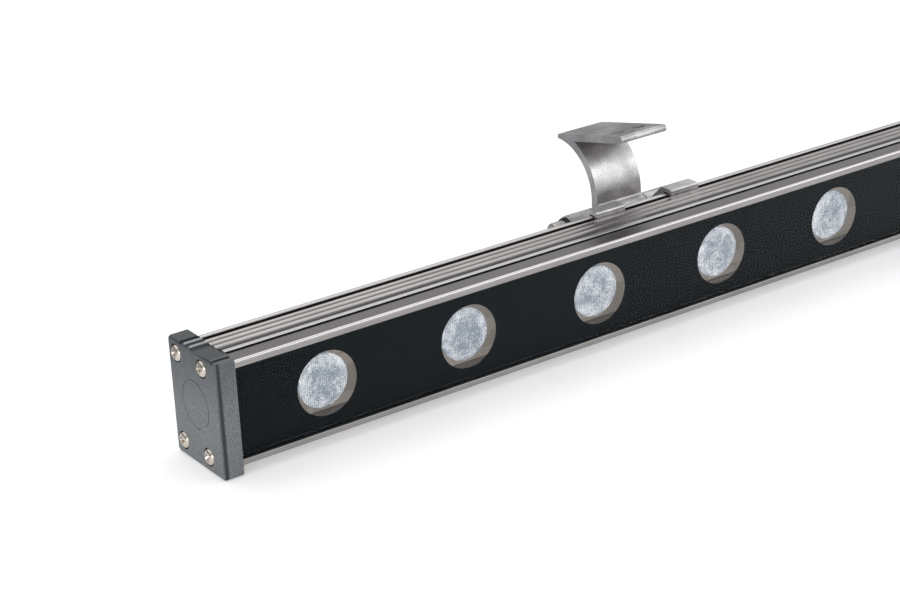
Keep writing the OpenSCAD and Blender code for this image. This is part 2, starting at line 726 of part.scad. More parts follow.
// Bracket clip: claw over the back lip, sloping web, back web and tee foot, then back up the inside
clip_outline = concat(
    [[leg_front, top_z - leg_len]],
    arc(leg_front + claw_t / 2, claw_z - claw_t / 2, claw_t / 2, 180, 90),
    [[slope_sum - claw_z, claw_z], [hinge_y, slope_sum - hinge_y], [web_y + web_t, hinge_z], [web_y + web_t, web_low],
     [web_y, web_low], [web_y, tee_z - tee_neck_h / 2], [tee_back, tee_z - tee_neck_h / 2],
     [tee_back, tee_z - tee_foot_h / 2], [tee_front, tee_z - tee_foot_h / 2],
     [tee_front, tee_z + tee_foot_h / 2], [tee_back, tee_z + tee_foot_h / 2],
     [tee_back, tee_z + tee_neck_h / 2], [web_y, tee_z + tee_neck_h / 2],
     [web_y, under_sum - web_y], [under_sum - shelf_gap_z, shelf_gap_z],
     [rail_back + claw_gap, shelf_gap_z], [rail_back + claw_gap, claw_under],
     [leg_front + claw_t, claw_under], [leg_front + claw_t, top_z - leg_len]]);

// Places of a clip's two lock screws
module at_locks() { for (s = [-1, 1]) translate([s * (clip_end - lock_inset), 0, 0]) children(); }

module clip() color("darkgray") difference() {
    union() {
        bar(-clip_end, clip_end) polygon(clip_outline);
        rod(-clip_end, clip_end, knuckle_r, hinge_y, hinge_z);
    }
    translate([-clip_gap / 2, 0, hinge_z - knuckle_r - knuckle_gap])
        cube([clip_gap, hinge_y + knuckle_r + cut, claw_z]);
    rod(-clip_end - cut, clip_end + cut, bore_r, hinge_y, hinge_z);
    at_locks() pin(web_y - cut, web_y + web_t + cut, lock_d / 2 + thread_gap, 0, lock_z);
}

// Arm: the quarter bend and the plate above it, with the outer half of the bend cut level with the plate
module bend_and_plate(x0, x1) difference() {
    union() {
        intersection() {
            rod(x0, x1, bend_r + arm_t / 2, arc_y, arc_z);
            bar(x0, x1) box2(arc_y - bend_r - arm_t, arc_z - arm_t / 2, arc_y, arc_z + bend_r + arm_t);
        }
        bar(x0, x1) on_plate() translate([-plate_len + plate_t / 2, -plate_t])
            square([plate_len - plate_t / 2, plate_t]);
        rod(x0, x1, plate_t / 2, plate_y + nose[0], plate_z + nose[1]);
    }
    rod(x0 - cut, x1 + cut, bend_r - arm_t / 2, arc_y, arc_z);
    bar(x0 - cut, x1 + cut) on_plate() translate([-bend_r, 0]) square([2 * bend_r, bend_r]);
}

// Moves a section to the back edge of the plate's top, along its slope
module on_plate() { translate([plate_y, plate_z]) rotate(-plate_tilt) children(); }

// Fillet between the knuckle and the stem, as a section round the hinge axis
module fillet() polygon(concat(
    [for (k = [0 : arc_n - 1]) let (t = -fillet_turn * k / arc_n)
        [stem_face - fillet_r * (1 - cos(t)), fillet_z + fillet_r * sin(t)]],
    [[0, 0], [arm_back, 0], [arm_back, fillet_z]]));

module arm() color("lightgray") difference() {
    union() {
        bend_and_plate(-arm_w / 2, arm_w / 2);
        bar(-arm_w / 2, arm_w / 2) box2(arm_y - arm_t / 2, hinge_z, arm_y + arm_t / 2, arc_z);
        bar(-arm_w / 2, arm_w / 2) translate([hinge_y, hinge_z]) fillet();
        rod(-arm_w / 2, arm_w / 2, knuckle_r, hinge_y, hinge_z);
    }
    rod(-arm_w / 2 - cut, arm_w / 2 + cut, bore_r, hinge_y, hinge_z);
    for (s = [-1, 1]) translate([s * hole_apart / 2, plate_y, plate_z]) rotate([-plate_tilt, 0, 0])
        translate([0, hole_back - plate_len, -plate_t - cut])
            cylinder(h = plate_t + 2 * cut, r = hole_d / 2);
}

module hinge_bolt() color("gainsboro") translate([0, hinge_y, hinge_z]) difference() {
    union() {
        rod(bolt_start, bolt_stop, bolt_r);
        translate([bolt_start, 0, 0]) rotate([0, -90, 0]) rotate_extrude() polygon(concat(
            [[0, 0], [bolt_head_d / 2, 0]],
            arc(bolt_head_d / 2 - edge_r, bolt_head_h - edge_r, edge_r, 0, 90), [[0, bolt_head_h]]));
    }
    hex_bar(bolt_start - bolt_head_h - cut, bolt_start - bolt_head_h / 2, bolt_hex);
}

module spring_washer() color("silver") translate([0, hinge_y, hinge_z]) difference() {
    rod(bolt_start, bolt_start + spring_t, spring_d / 2);
    rod(bolt_start - cut, bolt_start + spring_t + cut, bolt_r + bolt_gap);
    translate([bolt_start - cut, -spring_split / 2, 0]) cube([spring_t + 2 * cut, spring_split, spring_d]);
}

module flat_washer() color("gainsboro") translate([0, hinge_y, hinge_z]) difference() {
    rod(-clip_end - washer_t, -clip_end, washer_d / 2);
    rod(-clip_end - washer_t - cut, -clip_end + cut, bolt_r + bolt_gap);
}

module hinge_nut() color("gainsboro") translate([0, hinge_y, hinge_z]) difference() {
    intersection() {
        hex_bar(clip_end, clip_end + nut_h, nut_flats);
        translate([clip_end, 0, 0]) rotate([0, 90, 0])
            cylinder(h = nut_h, r1 = nut_flats, r2 = nut_flats / 2);
    }
    rod(clip_end - cut, clip_end + nut_h + cut, bolt_r + bolt_gap);
}

module lock_screws() color("dimgray") at_locks() difference() {
    pin(back_d + lock_gap, back_d + lock_gap + lock_len, lock_d / 2, 0, lock_z);
    translate([0, back_d + lock_len / 2, lock_z]) rotate([-90, 0, 0])
        cylinder(h = lock_len, r = lock_hex / sqrt(3), $fn = hex);
}

// A bracket's pieces at its place on the light
module at_bracket(side) { place() translate([side * bracket_x, 0, 0]) children(); }

housing();
front_glass();
glass_print();
glass_seal(glass_rise, 1);  // glass_seal_top
glass_seal(-glass_drop, -1);  // glass_seal_bottom
end_cap_left();
end_cap_right();
cap_gasket(-housing_x - gasket_t);  // cap_gasket_left
cap_gasket(housing_x);  // cap_gasket_right
cap_screws_left();
cap_screws_right();
led_board(-board_end, -board_split / 2);  // led_board_left
led_board(board_split / 2, board_end);  // led_board_right
board_screws();
board_link();
emitters();
lens_holders();
driver_chips();
terminal_block();
gland_body();
gland_ring();
gland_seal();
gland_nut();
at_bracket(-1) clip();  // clip_a
at_bracket(-1) arm();  // arm_a
at_bracket(-1) hinge_bolt();  // hinge_bolt_a
at_bracket(-1) spring_washer();  // spring_washer_a
at_bracket(-1) flat_washer();  // flat_washer_a
at_bracket(-1) hinge_nut();  // hinge_nut_a
at_bracket(-1) lock_screws();  // lock_screws_a
at_bracket(1) clip();  // clip_b
at_bracket(1) arm();  // arm_b
at_bracket(1) hinge_bolt();  // hinge_bolt_b
at_bracket(1) spring_washer();  // spring_washer_b
at_bracket(1) flat_washer();  // flat_washer_b
at_bracket(1) hinge_nut();  // hinge_nut_b
at_bracket(1) lock_screws();  // lock_screws_b
for (i = [0 : lens_n - 1]) lens(i);
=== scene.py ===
# %% [markdown]
# # An outdoor wall washer light
# A wall washer is a long, slim floodlight. It stands at the foot of a wall, or hangs in front of it, and its row of
# lenses washes the wall with light. The body is one aluminium extrusion with a glass over its open front, a die-cast
# cap screwed on at each end, and two brackets that slide along its back and tilt on a bolt.
#
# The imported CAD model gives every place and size. This script loads it as a frame that never moves, and builds the
# looks round it: finer meshes where light catches an edge, and a material for every finish.

import math

import bmesh
import bpy
from mathutils import Matrix, Vector


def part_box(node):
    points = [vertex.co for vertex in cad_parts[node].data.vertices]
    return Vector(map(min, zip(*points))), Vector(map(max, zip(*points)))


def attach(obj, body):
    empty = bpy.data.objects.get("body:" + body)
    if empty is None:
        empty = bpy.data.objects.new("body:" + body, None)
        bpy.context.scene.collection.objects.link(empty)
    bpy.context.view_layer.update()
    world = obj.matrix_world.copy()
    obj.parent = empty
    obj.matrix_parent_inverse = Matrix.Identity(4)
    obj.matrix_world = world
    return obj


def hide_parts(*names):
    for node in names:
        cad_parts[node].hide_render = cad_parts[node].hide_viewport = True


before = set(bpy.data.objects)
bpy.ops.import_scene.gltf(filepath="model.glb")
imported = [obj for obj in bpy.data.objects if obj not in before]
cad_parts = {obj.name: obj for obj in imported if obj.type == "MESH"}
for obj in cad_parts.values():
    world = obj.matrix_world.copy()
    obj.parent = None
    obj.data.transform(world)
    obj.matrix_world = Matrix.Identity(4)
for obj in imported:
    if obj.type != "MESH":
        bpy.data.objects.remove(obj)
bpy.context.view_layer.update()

# %% [markdown]
# ## Sizes in millimetres
# The light was drawn in millimetres, as distances behind the face of the glass and heights above its middle line.
# Blender works in metres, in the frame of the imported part. Two numbers measured on the frame link the drawing to it,
# so a section can be written down as on the drawing and still lands in the right place. The row of lenses lies a
# little below the middle line.

# %% Measure the frame
mm = 0.001
row_drop = 1.8 * mm
lens_count = 18
glass_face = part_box("front_glass")[0].y
first_lens, last_lens = (sum(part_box(name), Vector()) / 2 for name in ("lens_01", "lens_18"))
middle_height = first_lens.z + row_drop
lens_pitch = (last_lens.x - first_lens.x) / (lens_count - 1)
housing_low, housing_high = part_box("housing")


def at(y, z):
    """A drawing point, in mm behind the glass face and above the middle line, in metres in the part's frame."""
    return glass_face + y * mm, middle_height + z * mm


print(f"lens pitch {lens_pitch / mm:.1f} mm, lens row {first_lens.z / mm:.1f} mm above the floor")

# %% [markdown]
# ## Small helpers
# Colours are written as sRGB hex values, as a paint program shows them. Blender mixes light in linear values, so one
# function turns them. Another plugs a value or a node into a socket, and add() uses it to set up a node in any tree.
# A material is named for what the surface is made of and how it was made. The last two functions build a finish up:
# colours laid over each other through masks, and a roughness and a relief that follow one grain.


# %% Colours, nodes and materials
def linear(code):
    """An sRGB hex colour as linear red, green, blue and alpha."""
    shares = [int(code[k:k + 2], 16) / 255 for k in (1, 3, 5)]
    return tuple(s / 12.92 if s <= 0.04045 else ((s + 0.055) / 1.055) ** 2.4 for s in shares) + (1.0,)


def plug(tree, value, socket):
    """Sets a socket to a value, or links it to an output, which for a node is its first one."""
    if isinstance(value, bpy.types.Node):
        value = value.outputs[0]
    if isinstance(value, bpy.types.NodeSocket):
        tree.links.new(value, socket)
    else:
        socket.default_value = value


def add(tree, kind, inputs=None, **settings):
    """Adds a node with its settings, and plugs in its inputs."""
    made = tree.nodes.new(kind)
    for setting, value in settings.items():
        setattr(made, setting, value)
    for key, value in (inputs or {}).items():
        plug(tree, value, made.inputs[key])
    return made


def feed(tree, sockets, **values):
    """Plugs values and outputs into the shader's sockets, with _ for a space."""
    for socket, value in values.items():
        plug(tree, value, sockets[socket.replace("_", " ")])


def material(finish_name, **values):
    """A material with one Principled shader. Values are the shader's own sockets, with _ for a space."""
    made = bpy.data.materials.new(finish_name)
    made.use_nodes = True
    tree = made.node_tree
    tree.nodes.clear()
    shader = add(tree, "ShaderNodeBsdfPrincipled")
    add(tree, "ShaderNodeOutputMaterial", {"Surface": shader})
    feed(tree, shader.inputs, **values)
    return made, tree, shader.inputs, add(tree, "ShaderNodeTexCoord").outputs["Object"]


def layered(tree, colour, *layers):
    """Lays colours over a first one, each as far as its mask says, from 0 to 1."""
    for mask, code in layers:
        colour = add(tree, "ShaderNodeMix", {"Factor": mask, 6: colour, 7: linear(code)}, data_type="RGBA").outputs[2]
    return colour


def grained(tree, sockets, colour, grain, low, high, strength, depth, relief=None):
    """Links a colour, a roughness from low to high that follows a grain, and a relief of depth mm."""
    rough = add(tree, "ShaderNodeMapRange", {"Value": grain, "To Min": low, "To Max": high})
    bump = add(tree, "ShaderNodeBump", {"Height": grain if relief is None else relief, "Strength": strength,
                                        "Distance": depth * mm})
    feed(tree, sockets, Base_Color=colour, Roughness=rough, Normal=bump)

# %% [markdown]
# ## The camera
# The photograph looks along the light from above its left end. The camera was placed by lining up four lenses, the
# corners of the end cap and the bracket with their places on the CAD model. It looks 34.5 degrees to the right of
# straight back and 22.9 degrees down, with a small roll, through a lens of about 89 mm.

# %% Camera
heading, dip, roll = (math.radians(a) for a in (-34.4665, 22.9192, -2.6680))
camera = bpy.data.objects.new("camera", bpy.data.cameras.new("camera"))
camera_left, camera_front, camera_height = -281.91, -536.29, 289.06
camera.data.lens = 89.27
camera.data.sensor_width = 36
camera.data.clip_start = 0.02
camera.matrix_world = (
    Matrix.Translation((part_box("end_cap_left")[0].x + camera_left * mm, *at(camera_front, camera_height)))
    @ Matrix.Rotation(heading, 4, "Z")
    @ Matrix.Rotation(math.pi / 2 - dip, 4, "X")
    @ Matrix.Rotation(roll, 4, "Z")
)
bpy.context.scene.collection.objects.link(camera)
bpy.context.scene.camera = camera
bpy.context.scene.view_settings.view_transform = "Standard"
print("camera at", [round(v, 3) for v in camera.matrix_world.translation])

# %% [markdown]
# ## Materials of the metal parts
# Colour differs from place to place on a piece: an edge gets a painted highlight, a hollow painted shade. Such a
# place could be painted on an image, but here it follows from the drawing. A mask is 1 inside a range of Y and Z on
# the section and 0 outside, with a soft edge, and it reads the object's own coordinates, so that it stays on the metal.


# %% Masks from places on the section
def between(tree, value, low, high, soft):
    """1 where a value lies between two others, fading to 0 over soft."""
    above = add(tree, "ShaderNodeMapRange", {"Value": value, "From Min": low - soft, "From Max": low})
    below = add(tree, "ShaderNodeMapRange", {"Value": value, "From Min": high, "From Max": high + soft,
                                             "To Min": 1.0, "To Max": 0.0})
    return together(tree, above, below)


def together(tree, first, *others, operation="MULTIPLY"):
    """Several masks as one: 1 where all of them are, or with MAXIMUM where any is."""
    for other in others:
        first = add(tree, "ShaderNodeMath", {0: first, 1: other}, operation=operation)
    return first


def zone(tree, where, **ranges):
    """1 inside ranges of Y or Z, each with its low, high and soft edge in mm on the drawing."""
    axes, inside = add(tree, "ShaderNodeSeparateXYZ", {0: where}).outputs, []
    for axis, (low, high, soft) in ranges.items():
        zero = at(0, 0)["YZ".index(axis)]
        inside.append(between(tree, axes[axis], zero + low * mm, zero + high * mm, soft * mm))
    return together(tree, *inside)

# %% [markdown]
# The housing is an aluminium extrusion, blasted and anodised, so it is matt and a little warm, with fine lines drawn
# along it by the die. The lines run for metres and are a few tenths of a millimetre apart. They come from a noise
# that is stretched along X. A painted highlight runs along the ridges and the lip's front edge and draws their bright
# lines. Painted shade darkens the band behind the lip, the slope and the front half of each flute, which gives the eye
# three shaded grooves where a bare mirror of the studio would show flat strips.

# %% Satin anodised extrusion
anodised, tree, sockets, where = material("satin_anodised_aluminium", Metallic=1.0)
drawn = add(tree, "ShaderNodeMapping", {"Vector": where, "Scale": (1 / 400, 1, 1)})
lines = add(tree, "ShaderNodeTexNoise", {"Vector": drawn, "Scale": 1 / (0.5 * mm), "Detail": 3.0})
cloud = add(tree, "ShaderNodeTexNoise", {"Vector": where, "Scale": 60.0, "Detail": 2.0})
# Places for painted shade (band, top) and for a painted highlight (front_edge, ridges).
band = zone(tree, where, Y=(-0.6, 4.4, 0.2), Z=(16.8, 17.7, 0.1))
front_edge = zone(tree, where, Y=(-1.5, -0.75, 0.15), Z=(16.55, 17.2, 0.1))
ridges = zone(tree, where, Z=(18.0, 18.5, 0.1))
top = zone(tree, where, Z=(17.2, 18.5, 0.1))

# %% Painted shade and painted highlights of the extrusion
flute_front, slot_front, flute_count = 8.0, 16.9, 3
flute_wide = (slot_front - flute_front) / flute_count
depth = add(tree, "ShaderNodeSeparateXYZ", {0: where}).outputs["Y"]
across = add(tree, "ShaderNodeMapRange", {"Value": depth, "From Min": at(flute_front, 0)[0],
                                          "From Max": at(flute_front + flute_wide, 0)[0]}, clamp=False)
phase = add(tree, "ShaderNodeMath", {0: across}, operation="FRACT")
front_half = add(tree, "ShaderNodeMapRange", {"Value": phase, "From Min": 0.25, "From Max": 0.6,
                                              "To Min": 1.0, "To Max": 0.0}, interpolation_type="SMOOTHSTEP")
in_flutes = together(tree, front_half, zone(tree, where, Y=(flute_front, 16.8, 0.1)))
on_slope = zone(tree, where, Y=(6.3, 7.8, 0.2))
# Painted shade: a darker colour on the slope and on the front half of each flute.
painted_slope_and_flute_shade = together(tree, together(tree, in_flutes, on_slope, operation="MAXIMUM"), top)
# Painted highlight: a light colour on the ridges and the lip's front edge.
painted_edge_highlight = together(tree, ridges, front_edge, operation="MAXIMUM")
# The die lines are the metal's own; the band gets painted shade, then the painted highlight and shade go on top.
colour = layered(tree, linear("#8e8b8a"), (together(tree, lines, cloud), "#c4c0be"), (band, "#6d6a6a"),
                 (painted_edge_highlight, "#cfcdcc"), (painted_slope_and_flute_shade, "#63605f"))
grained(tree, sockets, colour, lines, 0.2, 0.3, 0.12, 0.05)
print("made", anodised.name)

# %% [markdown]
# The brackets and clips are cut from extrusions too, but tumbled and blasted afterwards, which leaves a fine grain in
# place of lines. The grain of glass bead blasting is about 0.2 mm, and it is drawn at 0.45 mm here so that it shows.

# %% Bead-blasted bracket aluminium
blasted, tree, sockets, where = material("bead_blasted_aluminium", Metallic=1.0)
grain = add(tree, "ShaderNodeTexNoise", {"Vector": where, "Scale": 1 / (0.45 * mm), "Detail": 4.0, "Roughness": 0.7})
cloud = add(tree, "ShaderNodeTexNoise", {"Vector": where, "Scale": 90.0, "Detail": 2.0})
spread = add(tree, "ShaderNodeMapRange", {"Value": together(tree, grain, cloud), "From Min": 0.12, "From Max": 0.4})
colour = layered(tree, linear("#939192"), (spread, "#e6e4e5"))
grained(tree, sockets, colour, grain, 0.28, 0.42, 0.6, 0.1)
print("made", blasted.name)

# %% [markdown]
# The end caps are zinc castings under a grey powder coat with metal flake. The powder melts into low orange peel,
# about 0.8 mm from hill to hill, with brighter flakes in it. Half metallic is a mix that a real paint never is, but
# it gives the eye what flake in a clear binder gives: a highlight with the paint's own colour in it.
#
# The coat's colour is not even either: light and shade are painted into it. A painted highlight runs in patches
# along the round groove and on the crests of the ribs. Painted shade darkens the hollow and the raised back, the front
# of the rim, and the end face more the higher up it goes.

# %% Powder coat on the caps
powder, tree, sockets, where = material("flake_powder_coat_on_casting", Metallic=0.45)
peel = add(tree, "ShaderNodeTexVoronoi", {"Vector": where, "Scale": 1 / (0.8 * mm)}, feature="SMOOTH_F1")
flake = add(tree, "ShaderNodeTexNoise", {"Vector": where, "Scale": 1 / (0.4 * mm), "Detail": 3.0, "Roughness": 0.65})
coarse = add(tree, "ShaderNodeMapRange", {"Value": flake, "From Min": 0.3, "From Max": 0.7})
hills = add(tree, "ShaderNodeMath", {0: peel, 1: flake}, operation="ADD")
axes = add(tree, "ShaderNodeSeparateXYZ", {0: where}).outputs

# %% Painted highlights of the coat, and the places for its painted shade
groove_centre = (13.25, -0.5)
flat = add(tree, "ShaderNodeMapping", {"Vector": where, "Scale": (0, 1, 1)})
away = add(tree, "ShaderNodeVectorMath", {0: flat, 1: (0, *at(*groove_centre))}, operation="DISTANCE")
left_end = add(tree, "ShaderNodeMath", {0: axes["X"], 1: 0.0}, operation="LESS_THAN")
patches = add(tree, "ShaderNodeTexNoise", {"Vector": where, "Scale": 1 / (5 * mm)})
# Noise that breaks the painted highlight along the groove into patches.
highlight_patches = add(tree, "ShaderNodeMapRange", {"Value": patches, "From Min": 0.35, "From Max": 0.65})
# Painted highlight: a light line along the round groove on the left cap.
painted_groove_highlight = together(tree, between(tree, away.outputs["Value"], 7.85 * mm, 8.0 * mm, 0.15 * mm), left_end, highlight_patches)
hollow, raised_back = (zone(tree, where, Y=place) for place in ((1.9, 13.6, 0.3), (19.0, 30, 0.3)))
hollows = together(tree, hollow, raised_back, operation="MAXIMUM")
on_ribs = add(tree, "ShaderNodeMath", {0: 1.0, 1: hollows}, operation="SUBTRACT")
# high_up and up_the_face place painted shade; at_crest places a painted highlight on the rib crests.
high_up, up_the_face, at_crest = (
    add(tree, "ShaderNodeMapRange", {"Value": axes["Z"], "From Min": at(0, low)[1], "From Max": at(0, high)[1],
                                     "To Max": most})
    for low, high, most in ((16.8, 17.2, 0.75), (0, 17, 0.45), (17.85, 18.05, 0.6)))

# %% Painted shade on the coat
left_face, right_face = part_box("end_cap_left")[0].x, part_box("end_cap_right")[1].x
half_length = (right_face - left_face) / 2
centred = add(tree, "ShaderNodeMath", {0: axes["X"], 1: right_face - half_length}, operation="SUBTRACT")
outward = add(tree, "ShaderNodeMath", {0: centred}, operation="ABSOLUTE")
# Painted shade along the front of the rim, at the rounded corner of the end face.
rim = together(tree, between(tree, outward, half_length - 1.2 * mm, half_length - 0.5 * mm, 0.5 * mm),
               zone(tree, where, Y=(-3, -0.9, 0.3)))
# Painted shade: the tops of the hollows, the rim's front and the end face towards the top.
dark = together(tree, together(tree, hollows, high_up), rim, up_the_face, operation="MAXIMUM")
# The flake is the coat's own; then painted highlight, painted shade and the painted highlight on the rib crests.
colour = layered(tree, linear("#54585b"), (coarse, "#8f9396"), (painted_groove_highlight, "#a9adb0"), (dark, "#34383b"),
                 (together(tree, on_ribs, at_crest), "#b4b8bb"))
grained(tree, sockets, colour, flake, 0.34, 0.52, 0.5, 0.1, relief=hills)
print("made", powder.name)

# %% [markdown]
# Nickel plate, stainless steel and black oxide differ in colour and in how far the turning marks show. One recipe
# makes them all: a metal with a fine cloud in its colour and its roughness, at the scale of handling marks.


# %% Plated and turned steels
def one_grain(finish_name, dark, light, grain_mm, low, high, strength, depth, detail=3.0, **values):
    """A material between two colours, with one grain in its colour, its roughness and its relief."""
    made, tree, sockets, where = material(finish_name, **values)
    grain = add(tree, "ShaderNodeTexNoise", {"Vector": where, "Scale": 1 / (grain_mm * mm), "Detail": detail})
    grained(tree, sockets, layered(tree, linear(dark), (grain, light)), grain, low, high, strength, depth)
    return made


def steel(finish_name, dark, light, low, high, metallic=1.0):
    """A machined metal between two colours, with its roughness between low and high."""
    return one_grain(finish_name, dark, light, 0.7, low, high, 0.1, 0.03, 4.0, Metallic=metallic)


nickel = steel("bright_nickel_plate", "#b3a99c", "#efe6da", 0.14, 0.28)
stainless = steel("turned_stainless_steel", "#8f8d8a", "#cfcdc9", 0.24, 0.42)
spring_steel = steel("blackened_spring_steel", "#242425", "#454547", 0.3, 0.5)
black_oxide = steel("black_oxide_steel", "#1d1c1c", "#3a3838", 0.3, 0.5, 0.8)
gland_nickel = steel("nickel_plated_brass", "#a39b8c", "#ded5c4", 0.2, 0.34)
print("made", [m.name for m in (nickel, stainless, spring_steel, black_oxide, gland_nickel)])

# %% [markdown]
# ## Materials of the optics
# The front is toughened clear glass, and behind it lies a black ceramic print with a round window for each lens. The
# print is baked on to the back of the glass, so its front face is set 0.02 mm into the glass here. Light then meets
# it inside the glass, as it does on the real one, and the black stays deep. The eye sees that black as a very dark
# blue-grey. A path tracer finds so dark a grey behind glass only with noise, so the print gives it off as weak light.

# %% Glass and ceramic print
glass, tree, sockets, where = material("toughened_clear_glass", Roughness=0.0, IOR=1.5, Specular_Tint=linear("#6a7a80"),
                                       Transmission_Weight=1.0, Specular_IOR_Level=0.08)
dust = add(tree, "ShaderNodeTexNoise", {"Vector": where, "Scale": 60.0, "Detail": 2.0})
feed(tree, sockets, Base_Color=layered(tree, linear("#f2f4f6"), (dust, "#f8f9fb")))

ink, tree, sockets, where = material("black_ceramic_print", Base_Color=linear("#020303"), IOR=1.5,
                                     Specular_IOR_Level=0.02, Emission_Strength=0.2)
specks = add(tree, "ShaderNodeTexNoise", {"Vector": where, "Scale": 1 / (0.6 * mm), "Detail": 2.0})
rough = add(tree, "ShaderNodeMapRange", {"Value": specks, "To Min": 0.5, "To Max": 0.6})
feed(tree, sockets, Emission_Color=layered(tree, linear("#10171a"), (specks, "#141b1f")), Roughness=rough)
print("made", glass.name, "and", ink.name)

# %% [markdown]
# The lenses are acrylic mouldings whose faces are covered with tiny beads to smooth the beam. A real bead is about
# half a millimetre across, and it is drawn at 0.7 mm so that it shows. Painted shade darkens the rim of each bead, and
# a slow swirl darkens some beads more than others, where the shape below them would shade them. The lens gives off a
# weak light in its own colour too, in place of the light that bounces between glass, lens and white holder and that
# the path tracer mostly loses.

# %% Beaded acrylic
acrylic, tree, sockets, where = material("beaded_optical_acrylic", IOR=1.49, Transmission_Weight=0.4, Roughness=0.15,
                                         Emission_Strength=0.26)
beads = add(tree, "ShaderNodeTexVoronoi", {"Vector": where, "Scale": 1 / (0.7 * mm), "Randomness": 0.3})
domes = together(tree, beads, beads)
bump = add(tree, "ShaderNodeBump", {"Height": domes, "Strength": 0.8, "Distance": 0.15 * mm}, invert=True)
swirl = add(tree, "ShaderNodeTexNoise", {"Vector": where, "Scale": 1 / (6 * mm), "Detail": 2.0, "Distortion": 1.5})
# Painted shade: the bead rims and a slow swirl darken the lens colour.
painted_bead_shade = add(tree, "ShaderNodeMath", {0: domes, 1: swirl}, operation="ADD")
shaded = add(tree, "ShaderNodeMapRange", {"Value": painted_bead_shade, "From Min": 0.42, "From Max": 0.92})
colour = layered(tree, linear("#ffffff"), (shaded, "#87929d"))
feed(tree, sockets, Base_Color=colour, Emission_Color=colour, Normal=bump)
print("made", acrylic.name)

# %% [markdown]
# ## Materials behind the glass
# Rubber, solder mask, moulded plastic, wire insulation and the chips have no metal in them. Each gets a fine grain
# at its own scale: moulded rubber is dusty, solder mask shows the copper tracks as low steps, and the emitters have
# a yellow phosphor under a clear dome in a white ceramic body.


# %% Rubber and plastics
def moulded(finish_name, dark, light, grain_mm, low, high):
    """A plastic, rubber or enamel between two colours, with a bumpy grain of that size."""
    return one_grain(finish_name, dark, light, grain_mm, low, high, 0.2, 0.05)


rubber = moulded("moulded_silicone_rubber", "#141516", "#26282a", 0.8, 0.6, 0.85)
polyester = moulded("white_moulded_polyester", "#c9c7c1", "#e6e4df", 0.9, 0.35, 0.5)
holder_plastic = moulded("white_moulded_polycarbonate", "#c4c1bc", "#e2dfda", 0.7, 0.4, 0.55)
epoxy = moulded("black_moulded_epoxy", "#101112", "#232426", 0.3, 0.4, 0.6)
wire_jacket = moulded("red_pvc_insulation", "#8f1712", "#c02a20", 1.2, 0.3, 0.45)
print("made", [m.name for m in (rubber, polyester, holder_plastic, epoxy, wire_jacket)])

# %% [markdown]
# The board is aluminium under a white solder mask, with copper tracks of about 3 mm below it. A square-cornered
# pattern of cells, stretched along the light, gives the outlines of the tracks as low steps and faint lines. The
# board has a weak light of its own for the same reason as the lenses.

# %% Board and emitters
board, tree, sockets, where = material("white_solder_mask_on_aluminium", Roughness=0.38, Emission_Strength=0.24)
turned = add(tree, "ShaderNodeMapping", {"Vector": where, "Scale": (0.16, 1, 0.45)})
tracks = add(tree, "ShaderNodeTexVoronoi", {"Vector": turned, "Scale": 1 / (2.4 * mm)}, distance="CHEBYCHEV")
step = add(tree, "ShaderNodeMapRange", {"Value": tracks, "From Min": 0.40, "From Max": 0.44})
bump = add(tree, "ShaderNodeBump", {"Height": step, "Strength": 0.4, "Distance": 0.05 * mm}, invert=True)
colour = layered(tree, linear("#d3c6b8"), (step, "#beb1a2"))
feed(tree, sockets, Base_Color=colour, Emission_Color=colour, Normal=bump)

emitter, tree, sockets, where = material("ceramic_led_with_phosphor_dome", Roughness=0.3)
dome_height = 0.95 * mm
depth = add(tree, "ShaderNodeSeparateXYZ", {0: where}).outputs["Y"]
is_body = add(tree, "ShaderNodeMath", {0: depth, 1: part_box("emitters")[1].y - dome_height}, operation="GREATER_THAN")
grains = add(tree, "ShaderNodeTexNoise", {"Vector": where, "Scale": 1 / (0.2 * mm), "Detail": 2.0})
feed(tree, sockets, Base_Color=layered(tree, linear("#d9b93a"), (grains, "#f0dc6a"), (is_body, "#e9e8e4")))
print("made", board.name, "and", emitter.name)

# %% [markdown]
# ## Making and dressing a piece
# A modifier's result has to become a plain mesh. The first helper does that, and turns on smooth shading wherever
# two faces meet at less than 35 degrees. Weighted normals then let the large flat faces keep their flat look right up
# to a rounded edge. The second gives a piece its material and the body that it moves with, and hides the CAD nodes
# that it stands for.


# %% Bake and dress
def plain_mesh(piece):
    """A piece's mesh as its modifiers leave it."""
    graph = bpy.context.evaluated_depsgraph_get()
    return bpy.data.meshes.new_from_object(piece.evaluated_get(graph), preserve_all_data_layers=True, depsgraph=graph)


def bake(piece, smooth_below=35.0):
    """Applies a piece's modifiers, with its place, and shades it smooth except at its real edges."""
    mesh = plain_mesh(piece)
    mesh.transform(piece.matrix_world)
    piece.modifiers.clear()
    piece.matrix_world = Matrix.Identity(4)
    piece.data = mesh
    mesh.name = piece.name
    mesh.shade_smooth()
    mesh.set_sharp_from_angle(angle=math.radians(smooth_below))
    weighted = piece.modifiers.new("weighted", "WEIGHTED_NORMAL")
    weighted.keep_sharp = True
    piece.data = plain_mesh(piece)
    piece.modifiers.clear()
    return piece


def dress(piece, finish, slot, body, *nodes):
    """Gives a piece its material and its body, and hides the CAD nodes that it replaces."""
    piece.data.materials.clear()
    piece.data.materials.append(finish)
    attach(piece, body)
    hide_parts(*nodes)
    print(f"{piece.name}: {len(piece.data.polygons)} faces for {', '.join(nodes[:3])}{'...' if nodes[3:] else ''}")
    return piece


def new_piece(piece_name, points, faces, edges=()):
    """An object with a mesh from points in metres, faces and loose edges."""
    mesh = bpy.data.meshes.new(piece_name)
    mesh.from_pydata(points, edges, faces)
    made = bpy.data.objects.new(piece_name, mesh)
    bpy.context.scene.collection.objects.link(made)
    return made


def piece_from(shape, piece_name):
    """An object from a bmesh, which is freed."""
    made = new_piece(piece_name, [], [])
    shape.to_mesh(made.data)
    shape.free()
    return made


